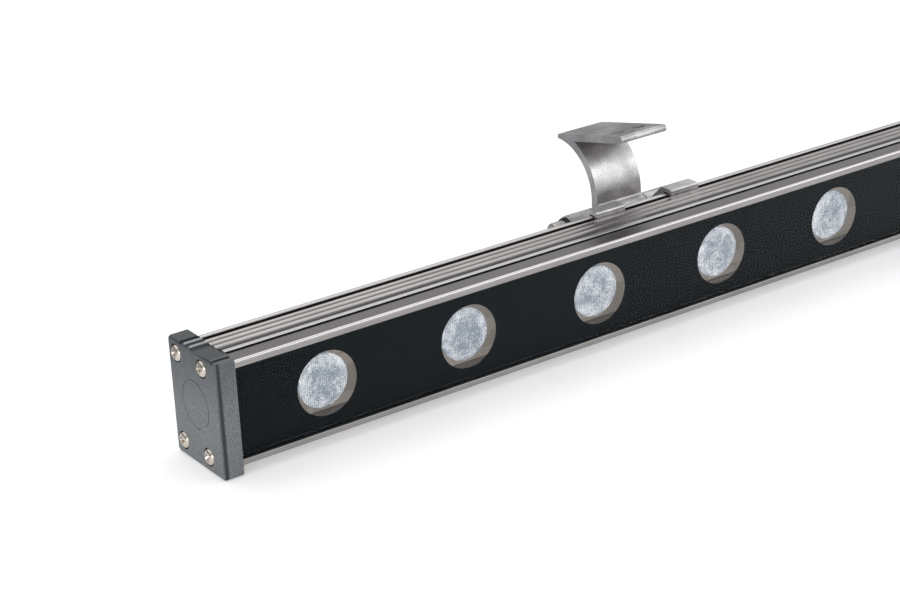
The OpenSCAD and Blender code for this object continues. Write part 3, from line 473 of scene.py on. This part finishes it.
# %% [markdown]
# Geometry Nodes grow what follows a rule. A tree gets a named input for each of its sizes. A modifier finds an input
# by the socket's identifier, so the helper looks that up from the name, runs the tree, and keeps the plain mesh.


# %% Geometry Nodes helpers
def new_tree(tree_name, **kinds):
    """A Geometry Nodes tree with a named input of each kind, and the outputs of its input node."""
    tree = bpy.data.node_groups.new(tree_name, "GeometryNodeTree")
    tree.interface.new_socket("Geometry", in_out="INPUT", socket_type="NodeSocketGeometry")
    for label, kind in kinds.items():
        tree.interface.new_socket(label, in_out="INPUT", socket_type="NodeSocket" + kind)
    tree.interface.new_socket("Geometry", in_out="OUTPUT", socket_type="NodeSocketGeometry")
    return tree, add(tree, "NodeGroupInput").outputs


def end_tree(tree, geometry, finish):
    """Ends a tree in Realize Instances and Set Material."""
    real = add(tree, "GeometryNodeRealizeInstances", {"Geometry": geometry})
    painted = add(tree, "GeometryNodeSetMaterial", {"Geometry": real, "Material": finish})
    add(tree, "NodeGroupOutput", {"Geometry": painted})


def grow(piece, tree, **sizes):
    """Runs a tree on a piece's mesh and keeps the result as a plain mesh."""
    modifier = piece.modifiers.new("grow", "NODES")
    modifier.node_group = tree
    for socket in tree.interface.items_tree:
        if socket.in_out == "INPUT" and socket.name in sizes:
            modifier[socket.identifier] = sizes[socket.name]
    return bake(piece)

# %% [markdown]
# ## The housing, an extrusion
# An extrusion is one section pushed through a die, so the mesh is made in the same way: a section with a radius at
# every corner, pushed along the light. The section is a C, open to the front. Its top has a lip with a band that
# falls a little to the front, a step with a thin undercut, a flat strip, a slope and three hollow flutes, then a
# slot, the lip that the clips hook over, and a shelf. The back has cooling fins and a tee slot. Four screw ports and
# a cavity run through it.
#
# The radii matter most for the looks. No extrusion has a truly sharp corner, and each small radius draws the thin
# bright line that the photograph shows along every ridge.

# %% The section's corners, as y, z and radius in mm
lip_top, step_top, flute_top = 17.0, 18.1, 17.85
slot_back, slot_floor = 18.8, 14.5
shelf, back, base = 15.5, 27.6, -20.4


def ring(y, z, radius, start, stop, steps):
    """Points of an arc, in degrees, without a corner radius."""
    turns = [math.radians(start + (stop - start) * k / steps) for k in range(steps + 1)]
    return [(y + radius * math.cos(t), z + radius * math.sin(t), 0.0) for t in turns]


front_and_top = [(-1.4, lip_top, 0.7), (5.4, 17.6, 0.1), (5.4, 17.85, 0.05), (4.4, 17.85, 0.05),
                 (4.4, step_top, 0.1), (5.9, step_top, 0.35), (flute_front, flute_top, 0.15)]
flute_deep = 0.35
flute_radius = ((flute_wide / 2) ** 2 + flute_deep ** 2) / (2 * flute_deep)
half_turn = math.degrees(math.asin(flute_wide / 2 / flute_radius))
flutes = []
for k in range(flute_count):
    hollow = ring(flute_front + flute_wide * (k + 0.5), flute_top - flute_deep + flute_radius, flute_radius,
                  270 - half_turn, 270 + half_turn, 10)
    flutes += hollow[1:-1] + [(hollow[-1][0], hollow[-1][1], 0.1 if k < flute_count - 1 else 0.25)]
slot_and_lip = [(slot_front, slot_floor, 0.3), (slot_back, slot_floor, 0.3), (slot_back, step_top, 0.5),
                (20.6, step_top, 0.5), (20.6, shelf, 0.3), (24.5, shelf, 0.4), (back, 12.4, 0.4)]
print("flute", round(flute_wide, 2), "mm wide, radius", round(flute_radius, 2), "mm")


# %% The back with its fins and tee slot, the base and the chamber
def fin_gap(low):
    """A gap between two fins, from its upper to its lower edge."""
    return [(back, low + 1.4, 0.3), (23.4, low + 1.4, 0.4), (23.4, low, 0.4), (back, low, 0.3)]


fins_above = [point for low in (9.0, 6.4, 3.8, 1.2) for point in fin_gap(low)]
tee = [(back, -3.2, 0.3), (25.6, -3.2, 0.15), (25.6, -1.6, 0.15), (23.4, -1.6, 0.15),
       (23.4, -7.2, 0.15), (25.6, -7.2, 0.15), (25.6, -5.6, 0.15), (back, -5.6, 0.3)]
fins_below = [point for low in (-11.4, -14.0) for point in fin_gap(low)]
seal_top, seal_low = 14.55, -15.75
low_front = [(back, base, 0.7), (3.9, base, 0.4), (3.9, -17.9, 0.2), (-1.4, -17.9, 0.7), (-1.4, seal_low, 0.3)]
boss, port = 2.45, 1.55
screw_front, screw_back, screw_top, screw_low = 7.7, 23.1, 13.3, -16.2
low_reach = math.degrees(math.acos((seal_low - screw_low) / boss))
top_reach = math.degrees(math.acos((seal_top - screw_top) / boss))
chamber = ([(-0.4, seal_low, 0.1), (-0.4, -16.9, 0.1), (4.4, -16.9, 0.1), (4.4, seal_low, 0.1)]
           + ring(screw_front, screw_low, boss, 90 + low_reach, 90 - low_reach, 8)
           + [(15.0, seal_low, 0.2), (15.0, seal_top, 0.2)]
           + ring(screw_front, screw_top, boss, 90 - top_reach, top_reach - 270, 8)
           + [(4.4, seal_top, 0.1), (4.4, 15.7, 0.1), (-0.4, 15.7, 0.1), (-0.4, seal_top, 0.1), (-1.4, seal_top, 0.3)])
outline = front_and_top + flutes + slot_and_lip + fins_above + tee + fins_below + low_front + chamber
screw_places = [(y, z) for y in (screw_front, screw_back) for z in (screw_top, screw_low)]
holes = [[(17.0, -13.75, 0.3), (21.8, -13.75, 0.3), (21.8, 10.85, 0.3), (17.0, 10.85, 0.3)]]
holes += [ring(y, z, port, 0, 345, 23) for y, z in screw_places]
print(len(outline), "points in the outline, and", len(holes), "hollows")

# %% [markdown]
# The tree rounds each corner by its own radius, fills the section, pushes it out and closes the other end with the
# same face turned over. Sections are drawn flat in X and Y, so a turn of 90 degrees about X and then Z stands them up
# across the light.


# %% The extruding tree
def push_out(tree, curve, depth, finish, **place):
    """Fills a curve, pushes the face out by depth, closes the far end and sets the result in its place."""
    face = add(tree, "GeometryNodeFillCurve", {"Curve": curve}, mode="TRIANGLES")
    pushed = add(tree, "GeometryNodeExtrudeMesh", {"Mesh": face, "Offset": (0, 0, 1), "Offset Scale": depth,
                                                   "Individual": False}, mode="FACES")
    turned_face = add(tree, "GeometryNodeFlipFaces", {"Mesh": face})
    closed = add(tree, "GeometryNodeJoinGeometry", {"Geometry": pushed})
    plug(tree, turned_face, closed.inputs[0])
    merged = add(tree, "GeometryNodeMergeByDistance", {"Geometry": closed, "Distance": 0.001 * mm})
    end_tree(tree, add(tree, "GeometryNodeTransform", {"Geometry": merged, **place}), finish)


extrude, given = new_tree("extruded_section", start="Float", length="Float", steps="Int")
curve = add(extrude, "GeometryNodeMeshToCurve", {"Mesh": given["Geometry"]})
radius = add(extrude, "GeometryNodeInputNamedAttribute", {"Name": "corner"}, data_type="FLOAT")
rounded = add(extrude, "GeometryNodeFilletCurve", {"Curve": curve, "Count": given["steps"], "Limit Radius": True,
                                                   "Radius": radius.outputs["Attribute"]}, mode="POLY")
offset = add(extrude, "ShaderNodeCombineXYZ", {"X": given["start"]})
push_out(extrude, rounded, given["length"], anodised, Translation=offset, Rotation=(math.pi / 2, 0, math.pi / 2))


def section(piece_name, *loops):
    """A flat mesh of closed loops, in mm on the drawing, with a corner radius at every point."""
    points, edges, radii = [], [], []
    for loop in loops:
        first = len(points)
        points += [(*at(y, z), 0.0) for y, z, r in loop]
        radii += [r * mm for y, z, r in loop]
        edges += [(first + k, first + (k + 1) % len(loop)) for k in range(len(loop))]
    made = new_piece(piece_name, points, [], edges)
    made.data.attributes.new("corner", "FLOAT", "POINT").data.foreach_set("value", radii)
    return made


# %% Push the housing
housing = section("extruded_housing", outline, *holes)
grow(housing, extrude, start=housing_low.x, length=housing_high.x - housing_low.x, steps=4)
dress(housing, anodised, "profile", "light", "housing")

# %% [markdown]
# ## The glass and its print
# The glass is a plain strip with ground edges, so a copy of the CAD strip gets a small bevel. The print is a sheet
# pierced once at every lens. A row of circles inside a rectangle, filled and pushed out, makes it in one go. The tree
# sets the circles on the sheet's middle, and they then move down to the row of lenses.


# %% A copy of a CAD node with its edges broken
def break_edges(piece, width, segments, angle):
    """Rounds every edge sharper than angle degrees by width mm."""
    edge = piece.modifiers.new("edge", "BEVEL")
    edge.width, edge.segments, edge.limit_method, edge.angle_limit = width * mm, segments, "ANGLE", math.radians(angle)


def softened(piece_name, node, width, segments=2):
    """A merged copy of a CAD node's mesh, with every sharp edge rounded by width mm."""
    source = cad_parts[node].data
    made = new_piece(piece_name, [v.co for v in source.vertices], [list(p.vertices) for p in source.polygons])
    shape = bmesh.new()
    shape.from_mesh(made.data)
    bmesh.ops.remove_doubles(shape, verts=shape.verts, dist=0.001 * mm)
    bmesh.ops.dissolve_limit(shape, angle_limit=math.radians(0.5), verts=shape.verts, edges=shape.edges)
    shape.to_mesh(made.data)
    shape.free()
    break_edges(made, width, segments, 30)
    return bake(made)


front = softened("toughened_front_glass", "front_glass", 0.35)
dress(front, glass, "glass", "light", "front_glass")

# %% The pierced print
pierced, given = new_tree("pierced_sheet", length="Float", height="Float", thickness="Float", windows="Int",
                          pitch="Float", window="Float")
step_along = add(pierced, "ShaderNodeCombineXYZ", {"X": given["pitch"]})
row_length = add(pierced, "ShaderNodeMath", {0: given["pitch"], 1: given["windows"]}, operation="MULTIPLY")
row_start = add(pierced, "ShaderNodeMath", {0: row_length, 1: given["pitch"]}, operation="SUBTRACT")
row_half = add(pierced, "ShaderNodeMath", {0: row_start, 1: -0.5}, operation="MULTIPLY")
from_left = add(pierced, "ShaderNodeCombineXYZ", {"X": row_half})
row = add(pierced, "GeometryNodeMeshLine", {"Count": given["windows"], "Start Location": from_left,
                                            "Offset": step_along}, mode="OFFSET")
window_radius = add(pierced, "ShaderNodeMath", {0: given["window"], 1: 0.5}, operation="MULTIPLY")
circle = add(pierced, "GeometryNodeCurvePrimitiveCircle", {"Resolution": 96, "Radius": window_radius})
circles = add(pierced, "GeometryNodeInstanceOnPoints", {"Points": row, "Instance": circle})
real = add(pierced, "GeometryNodeRealizeInstances", {"Geometry": circles})
strip = add(pierced, "GeometryNodeCurvePrimitiveQuadrilateral", {"Width": given["length"], "Height": given["height"]})
both = add(pierced, "GeometryNodeJoinGeometry", {"Geometry": strip})
plug(pierced, real, both.inputs[0])
push_out(pierced, both, given["thickness"], ink, Rotation=(math.pi / 2, 0, 0))

# %% Set the print behind the glass
print_low, print_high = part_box("glass_print")
print_middle = (print_low.z + print_high.z) / 2
window, into_glass = 21.7 * mm, 0.02 * mm
sheet = new_piece("pierced_ceramic_print", [], [])
sheet.location = ((first_lens.x + last_lens.x) / 2, print_high.y, print_middle)
bpy.context.view_layer.update()
grow(sheet, pierced, length=print_high.x - print_low.x, height=print_high.z - print_low.z,
     thickness=print_high.y - print_low.y + into_glass, windows=lens_count, pitch=lens_pitch, window=window)
for vertex in sheet.data.vertices:
    if abs(vertex.co.z - print_low.z) > 0.1 * mm and abs(vertex.co.z - print_high.z) > 0.1 * mm:
        vertex.co.z += first_lens.z - print_middle
dress(sheet, ink, "black_print", "light", "glass_print")

# %% [markdown]
# ## The lenses
# Each lens is a collimator: light from the chip enters the pocket, bounces off the cone and leaves through the face.
# It is a turned shape, so one profile is spun round the axis. The face is slightly domed, with a shallow dimple where
# the middle lens sits, and a flat rim that the beads don't reach. Geometry Nodes then set one at each place in a row.


# %% Turn a lens
def turned_shape(piece_name, profile, steps):
    """Spins a profile of (radius, height) points in mm round Y, height towards the back, from axis to axis."""
    shape = bmesh.new()
    line = [shape.verts.new((r * mm, h * mm, 0)) for r, h in profile]
    edges = [shape.edges.new(pair) for pair in zip(line, line[1:])]
    bmesh.ops.spin(shape, geom=line + edges, cent=(0, 0, 0), axis=(0, 1, 0), angle=2 * math.pi, steps=steps)
    bmesh.ops.remove_doubles(shape, verts=shape.verts, dist=0.001 * mm)
    bmesh.ops.recalc_face_normals(shape, faces=shape.faces)
    return piece_from(shape, piece_name)


beaded, dome, dimple, cone_end, lens_deep = 8.1, 0.45, 0.3, 4.6, 6.4
face_points = [(beaded * k / 12, -dome * (1 - (k / 12) ** 2) + dimple * max(0.0, 1 - (k / 4) ** 2))
               for k in range(13)]
flat_rim = [(8.2, 0.12), (8.8, 0.12), (9.0, 0.25), (9.0, 1.2)]
cone = [(cone_end + 3.86 * (k / 8) ** 0.8, lens_deep - 5.2 * k / 8) for k in range(8, -1, -1)]
pocket = [(2.6, lens_deep), (2.45, 4.0), (1.7, 3.55), (0.0, 3.4)]
lens_profile = face_points + flat_rim + cone + pocket
lens_seed = turned_shape("lens_seed", lens_profile, 64)

# %% Set the row of lenses
row_tree, given = new_tree("row_of_lenses", seed="Object", count="Int", pitch="Float")
step_along = add(row_tree, "ShaderNodeCombineXYZ", {"X": given["pitch"]})
places = add(row_tree, "GeometryNodeMeshLine", {"Count": given["count"], "Offset": step_along}, mode="OFFSET")
shape_in = add(row_tree, "GeometryNodeObjectInfo", {"Object": given["seed"]})
placed = add(row_tree, "GeometryNodeInstanceOnPoints", {"Points": places, "Instance": shape_in.outputs["Geometry"]})
end_tree(row_tree, placed, acrylic)

lens_row = new_piece("beaded_lens_row", [], [])
lens_row.location = (first_lens.x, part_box("lens_01")[0].y, first_lens.z)
bpy.context.view_layer.update()
grow(lens_row, row_tree, seed=lens_seed, count=lens_count, pitch=lens_pitch)
bpy.data.objects.remove(lens_seed)
dress(lens_row, acrylic, "lens", "light", *[f"lens_{k:02d}" for k in range(1, lens_count + 1)])

# %% [markdown]
# ## The end caps
# A die-cast cap is a rounded block with a softly rounded rim, whose top follows the housing's top: a bar over the
# lip, a wide hollow, two ribs and a raised back. It is made as a founder's pattern is: a rounded block first, then
# everything that is cut away. A last small bevel breaks the edges as thick powder coat does.


# %% The block and its cutters
def skin(shape, rings, capped=True):
    """Joins rings of corners in a bmesh by quads. It closes both ends, or joins the last ring to the first."""
    loops = [[shape.verts.new(corner) for corner in corners] for corners in rings]
    faces = [shape.faces.new(loops[0]), shape.faces.new(loops[-1])] if capped else []
    for one, two in zip(loops, loops[1:] if capped else loops[1:] + loops[:1]):
        count = len(one)
        faces += [shape.faces.new((one[k], two[k], two[(k + 1) % count], one[(k + 1) % count])) for k in range(count)]
    bmesh.ops.recalc_face_normals(shape, faces=faces)
    return faces


def circle_at(x, y, z, radius, sides):
    """Corners of a circle across the light, with x in metres and the rest in mm on the drawing."""
    turns = [2 * math.pi * k / sides for k in range(sides)]
    return [(x, *at(y + radius * math.cos(t), z + radius * math.sin(t))) for t in turns]


def block(piece_name, front, base, back, top, radius, outer, inner, rim):
    """A block across the light from x outer to x inner, with round corners and a rounded rim at its outer face."""
    y0, y1, z0, z1 = front + radius, back - radius, base + radius, top - radius
    corners = [point for k, (y, z) in enumerate(((y1, z1), (y0, z1), (y0, z0), (y1, z0)))
               for point in ring(y, z, radius, 90 * k, 90 * k + 90, 8)]
    shape = bmesh.new()
    faces = skin(shape, [[(x, *at(y, z)) for y, z, r in corners] for x in (outer, inner)])
    bmesh.ops.bevel(shape, geom=list(faces[0].edges), offset=rim * mm, segments=5, profile=0.5, affect="EDGES")
    return piece_from(shape, piece_name)


def carve(piece, tool, use_self=False):
    """Cuts a tool's shape out of a piece when it is baked."""
    cut = piece.modifiers.new("cut", "BOOLEAN")
    cut.operation, cut.object, cut.solver, cut.use_self = "DIFFERENCE", tool, "EXACT", use_self


# %% Carve a cap
cap_front, cap_base, cap_back, cap_top, cap_corner, cap_rim = -1.5, -21.4, 28.0, 18.1, 1.6, 1.1
screw_sink, seat_radius, screw_hole = 1.4 * mm, 3.0, 1.7
groove_outer, groove_inner, groove_deep = 8.1, 7.75, 0.25 * mm
gland_y, gland_z, gland_hole = 9.8, -2.0, 5.05
hollow_line = [(1.6 + 12.4 * k / 8, cap_top - 0.8 * math.sin(math.radians(90 * k / 8))) for k in range(9)]
top_line = ([(-3.0, 17.6), (0.6, 17.6), (0.6, 16.8), (1.6, 16.8)] + hollow_line
            + [(14.0, 18.1), (15.4, 18.1), (15.4, 17.3), (17.3, 17.3), (17.3, 18.1), (18.7, 18.1), (18.7, 17.3),
               (20.6, 17.3), (20.6, 19.5), (-3.0, 19.5)])


def carved_cap(piece_name, node, side):
    """An end cap on the left for side -1, with its groove, or on the right for side 1, with the gland's hole."""
    low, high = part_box(node)
    outer, inner = (low.x, high.x) if side < 0 else (high.x, low.x)
    piece = block(piece_name, cap_front, cap_base, cap_back, cap_top, cap_corner, outer, inner, cap_rim)
    start, end, seat = outer + 3 * mm * side, inner - 3 * mm * side, outer - screw_sink * side
    cutters = bmesh.new()
    skin(cutters, [[(x, *at(y, z)) for y, z in top_line] for x in (start, end)])
    pins = [(y, z, ((start, seat_radius), (seat, seat_radius), (seat, screw_hole), (end, screw_hole)))
            for y, z in screw_places]
    if side > 0:
        pins.append((gland_y, gland_z, ((start, gland_hole), (end, gland_hole))))
    for y, z, steps in pins:
        skin(cutters, [circle_at(x, y, z, radius, 48) for x, radius in steps])
    tools = [piece_from(cutters, "cutters")]
    if side < 0:
        groove = bmesh.new()
        corners = ((start, groove_outer), (outer + groove_deep, groove_outer), (outer + groove_deep, groove_inner),
                   (start, groove_inner))
        skin(groove, [circle_at(x, *groove_centre, radius, 96) for x, radius in corners], capped=False)
        tools.append(piece_from(groove, "groove_tool"))
    for tool in tools:
        carve(piece, tool)
    break_edges(piece, 0.18, 2, 40)
    bake(piece, 30)
    for tool in tools:
        bpy.data.objects.remove(tool)
    return dress(piece, powder, "cap", "light", node)


carved_cap("cast_end_cap_left", "end_cap_left", -1)
carved_cap("cast_end_cap_right", "end_cap_right", 1)

# %% [markdown]
# ## Screws
# The caps are held by pan-head screws with a cross recess. One screw is turned on the axis and the cross is cut out
# of its head, and Geometry Nodes set a copy at each place, with the head outwards. The same tree sets the board's
# screws, which face the front. Each copy is turned a little differently, since nobody lines screws up.


# %% One screw
def pan_screw(piece_name, head, high, thread, length):
    """A pan-head screw along Y, in mm, its head towards the front and its seat at zero."""
    turns = [math.radians(a) for a in (20, 35, 50, 62, 74, 84)]
    dome = [(head / 2 * math.sin(t) ** 0.75, -high * (0.25 + 0.75 * math.cos(t) ** 0.8)) for t in turns]
    profile = [(0.0, -high), *dome, (head / 2, -high * 0.22), (head / 2, -0.1), (head / 2 - 0.1, 0.0),
               (thread / 2, 0.0), (thread / 2, length - 0.6), (thread / 2 - 0.5, length), (0.0, length)]
    made = turned_shape(piece_name, profile, 32)
    cutter = bmesh.new()
    wide, slim, deep = head * 0.60, head * 0.15, high * 0.75
    for turn in (0, 90):
        blade = bmesh.ops.create_cube(cutter, size=1.0)["verts"]
        for v in blade:
            below = v.co.y > 0
            v.co = (v.co.x * wide * (0.45 if below else 1.0) * mm, (-high + deep if below else -high - 1) * mm,
                    v.co.z * slim * (0.8 if below else 1.0) * mm)
        bmesh.ops.rotate(cutter, verts=blade, cent=(0, 0, 0), matrix=Matrix.Rotation(math.radians(turn), 3, "Y"))
    tool = piece_from(cutter, "cross_tool")
    carve(made, tool, use_self=True)
    bake(made, 40)
    bpy.data.objects.remove(tool)
    return made


# %% The tree that sets screws
set_screws, given = new_tree("set_screws", screw="Object", facing="Vector", seed="Int")
shape_in = add(set_screws, "GeometryNodeObjectInfo", {"Object": given["screw"]})
spin = add(set_screws, "FunctionNodeRandomValue", {2: 0.0, 3: math.pi / 2, "Seed": given["seed"]}, data_type="FLOAT")
about = add(set_screws, "ShaderNodeCombineXYZ", {"Y": spin.outputs[1]})
faced = add(set_screws, "GeometryNodeInstanceOnPoints", {"Points": given["Geometry"], "Rotation": given["facing"],
                                                         "Instance": shape_in.outputs["Geometry"]})
spun = add(set_screws, "GeometryNodeRotateInstances", {"Instances": faced, "Rotation": about, "Local Space": True})
end_tree(set_screws, spun, nickel)


def screw_set(piece_name, node, seed_screw, places, facing, seed):
    """A set of screws at its places, for one CAD node."""
    piece = new_piece(piece_name, places, [])
    grow(piece, set_screws, screw=seed_screw, facing=facing, seed=seed)
    return dress(piece, nickel, "nickel", "light", node)

# %% Cap screws and board screws
cap_screw = pan_screw("cap_screw_seed", 5.6, 2.2, 3.0, 16.0)
board_screw = pan_screw("board_screw_seed", 5.6, 1.8, 3.0, 3.4)
for end, face, sideways, seed in (("left", left_face + screw_sink, -math.pi / 2, 3),
                                  ("right", right_face - screw_sink, math.pi / 2, 5)):
    screw_set(f"pan_screws_{end}", f"cap_screws_{end}", cap_screw, [(face, *at(y, z)) for y, z in screw_places],
              (0, 0, sideways), seed)
middle = (first_lens.x + last_lens.x) / 2
gaps = [first_lens.x + (k + 0.5) * lens_pitch for k in range(0, lens_count - 1, 2)]
board_places = [(x, *at(13.5, 0)) for x in gaps if abs(x - middle) > 1 * mm]
screw_set("pan_screws_board", "board_screws", board_screw, board_places, (0, 0, 0), 7)
for used in (cap_screw, board_screw):
    bpy.data.objects.remove(used)

# %% [markdown]
# ## Brackets
# Each bracket is a clip that hooks over the housing's back lip and into its tee slot, and an arm that turns on a bolt
# between the clip's two knuckles. These shapes are right in the CAD model, so merged copies of them get small
# rounded edges, which is what tumbling leaves. A washer or a nut gets a smaller one.

# %% Clips, arms and their hardware
fittings = (("bracket_clip", "clip", 0.25, 2, blasted, "bracket", "clip"),
            ("bracket_arm", "arm", 0.35, 3, blasted, "bracket", "arm"),
            ("pivot_bolt", "hinge_bolt", 0.15, 2, stainless, "steel", "clip"),
            ("pivot_nut", "hinge_nut", 0.15, 2, stainless, "steel", "clip"),
            ("split_washer", "spring_washer", 0.08, 2, spring_steel, "steel", "clip"),
            ("plain_washer", "flat_washer", 0.08, 2, stainless, "steel", "clip"),
            ("grub_screws", "lock_screws", 0.12, 2, black_oxide, "black_steel", "clip"))
for letter in "ab":
    for kind, node, width, segments, finish, slot, body in fittings:
        dress(softened(f"{kind}_{letter}", f"{node}_{letter}", width, segments), finish, slot, f"{body}_{letter}",
              f"{node}_{letter}")

# %% [markdown]
# ## The cable gland
# The cord enters at the right end through a brass gland. Its hexagon and its domed nut are turned parts, so their
# edges are broken a little too. The photograph shows no cord, so the gland stands empty.

# %% Gland
dress(softened("gland_stub", "gland_body", 0.2), gland_nickel, "nickel", "light", "gland_body")
dress(softened("gland_dome_nut", "gland_nut", 0.2), gland_nickel, "nickel", "light", "gland_nut")

# %% [markdown]
# ## CAD nodes that stay
# The boards, emitters, holders, chips, gaskets and seals are right as they are. They keep their own meshes and only
# get their finishes, through the material slots of their objects.

# %% Dress the nodes that stay
kept = {
    "led_board_left": board, "led_board_right": board, "board_link": wire_jacket, "emitters": emitter,
    "lens_holders": holder_plastic, "driver_chips": epoxy, "terminal_block": polyester,
    "glass_seal_top": rubber, "glass_seal_bottom": rubber, "cap_gasket_left": rubber, "cap_gasket_right": rubber,
    "gland_ring": rubber, "gland_seal": rubber,
}
for node, finish in kept.items():
    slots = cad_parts[node].data.materials
    slots.clear()
    slots.append(finish)
print("dressed", len(kept), "CAD nodes")

# %% [markdown]
# ## The studio
# The floor is plain and nearly white. A lamp can't make it quite white without washing out the metal, so it gets a
# little light of its own, and its shadows stay. That light is weak for what the camera sees of it, stronger for rays
# that go through glass, and for metal it comes only from the floor in front of the light. Behind the light, metal
# sees a greyer floor, which gives the faces that look that way their darker tone.
#
# The world is white behind the light and grey behind the camera, as in a studio with one white wall, and darker down
# at the horizon, so the metal has something dark to show as well. Rays through glass find it brighter. Three soft
# lamps shape the forms: a wide one above and behind, a low one on the left, and a wide one in front.

# %% Floor
floor = new_piece("studio_floor", [(-30, -30, 0), (30, -30, 0), (30, 30, 0), (-30, 30, 0)], [(0, 1, 2, 3)])
floor_paint, tree, sockets, where = material("matt_white_floor", Roughness=0.9, Specular_IOR_Level=0.1,
                                             Emission_Color=linear("#ffffff"))
eye_glow, glass_glow, metal_glow = 0.36, 0.9, 0.3
path = add(tree, "ShaderNodeLightPath").outputs
depth = add(tree, "ShaderNodeSeparateXYZ", {0: where}).outputs["Y"]
behind = add(tree, "ShaderNodeMapRange", {"Value": depth, "From Min": 0.0, "From Max": 0.12},
             interpolation_type="SMOOTHSTEP")
in_front = add(tree, "ShaderNodeMath", {0: 1.0, 1: behind}, operation="SUBTRACT")
to_metal = together(tree, path["Is Glossy Ray"], in_front)
to_eye = add(tree, "ShaderNodeMath", {0: path["Is Camera Ray"], 1: eye_glow}, operation="MULTIPLY")
to_glass = add(tree, "ShaderNodeMath", {0: path["Is Transmission Ray"], 1: glass_glow, 2: to_eye},
               operation="MULTIPLY_ADD")
glow = add(tree, "ShaderNodeMath", {0: to_metal, 1: metal_glow, 2: to_glass}, operation="MULTIPLY_ADD")
mirrored = layered(tree, linear("#e0e0e2"), (behind, "#acacae"))
swept = add(tree, "ShaderNodeMix", {"Factor": path["Is Glossy Ray"], 6: linear("#e6e6e6"), 7: mirrored},
            data_type="RGBA")
feed(tree, sockets, Base_Color=swept.outputs[2], Emission_Strength=glow)
floor.data.materials.append(floor_paint)

# %% World
world = bpy.data.worlds.new("studio")
bpy.context.scene.world = world
world.use_nodes = True
tree = world.node_tree
tree.nodes.clear()
towards_wall = (0.3, 0.85, 0.43)
way = add(tree, "ShaderNodeTexCoord").outputs["Generated"]
ahead = add(tree, "ShaderNodeVectorMath", {0: way, 1: towards_wall}, operation="DOT_PRODUCT")
wall = add(tree, "ShaderNodeMapRange", {"Value": ahead.outputs["Value"], "From Min": -0.5, "From Max": 0.5},
           interpolation_type="SMOOTHSTEP")
upper = layered(tree, linear("#a6a6a8"), (wall, "#ffffff"))
climb = add(tree, "ShaderNodeSeparateXYZ", {0: way})
height = add(tree, "ShaderNodeMapRange", {"Value": climb.outputs["Z"], "From Min": 0.14, "From Max": 0.46},
             interpolation_type="SMOOTHSTEP")
shade = add(tree, "ShaderNodeMix", {"Factor": height, 6: linear("#6c6c6e"), 7: upper}, data_type="RGBA")
path = add(tree, "ShaderNodeLightPath").outputs
inside = add(tree, "ShaderNodeMath", {0: path["Is Transmission Ray"], 1: 1.5, 2: 1.0}, operation="MULTIPLY_ADD")
seen_white = layered(tree, shade.outputs[2], (path["Is Camera Ray"], "#ffffff"))
sky = add(tree, "ShaderNodeBackground", {"Color": seen_white, "Strength": inside})
add(tree, "ShaderNodeOutputWorld", {"Surface": sky})


# %% Lamps
def softbox(lamp_name, place, aim, width, height, power):
    """A rectangular lamp at a place, in metres, turned towards a point."""
    lamp = bpy.data.lights.new(lamp_name, "AREA")
    lamp.shape, lamp.size, lamp.size_y, lamp.energy = "RECTANGLE", width, height, power
    made = bpy.data.objects.new(lamp_name, lamp)
    made.matrix_world = (Matrix.Translation(place)
                         @ (Vector(aim) - Vector(place)).to_track_quat("-Z", "Y").to_matrix().to_4x4())
    bpy.context.scene.collection.objects.link(made)


softbox("softbox_above", (-0.2, 0.7, 1.5), (0, 0, 0), 2.0, 0.8, 4.0)
softbox("softbox_left", (-1.6, -0.9, 0.35), (-0.4, 0, 0.03), 0.9, 0.5, 6.0)
softbox("softbox_front", (0.45, -1.15, 0.62), (-0.33, 0, 0.05), 1.7, 0.75, 7.0)
print("studio ready")
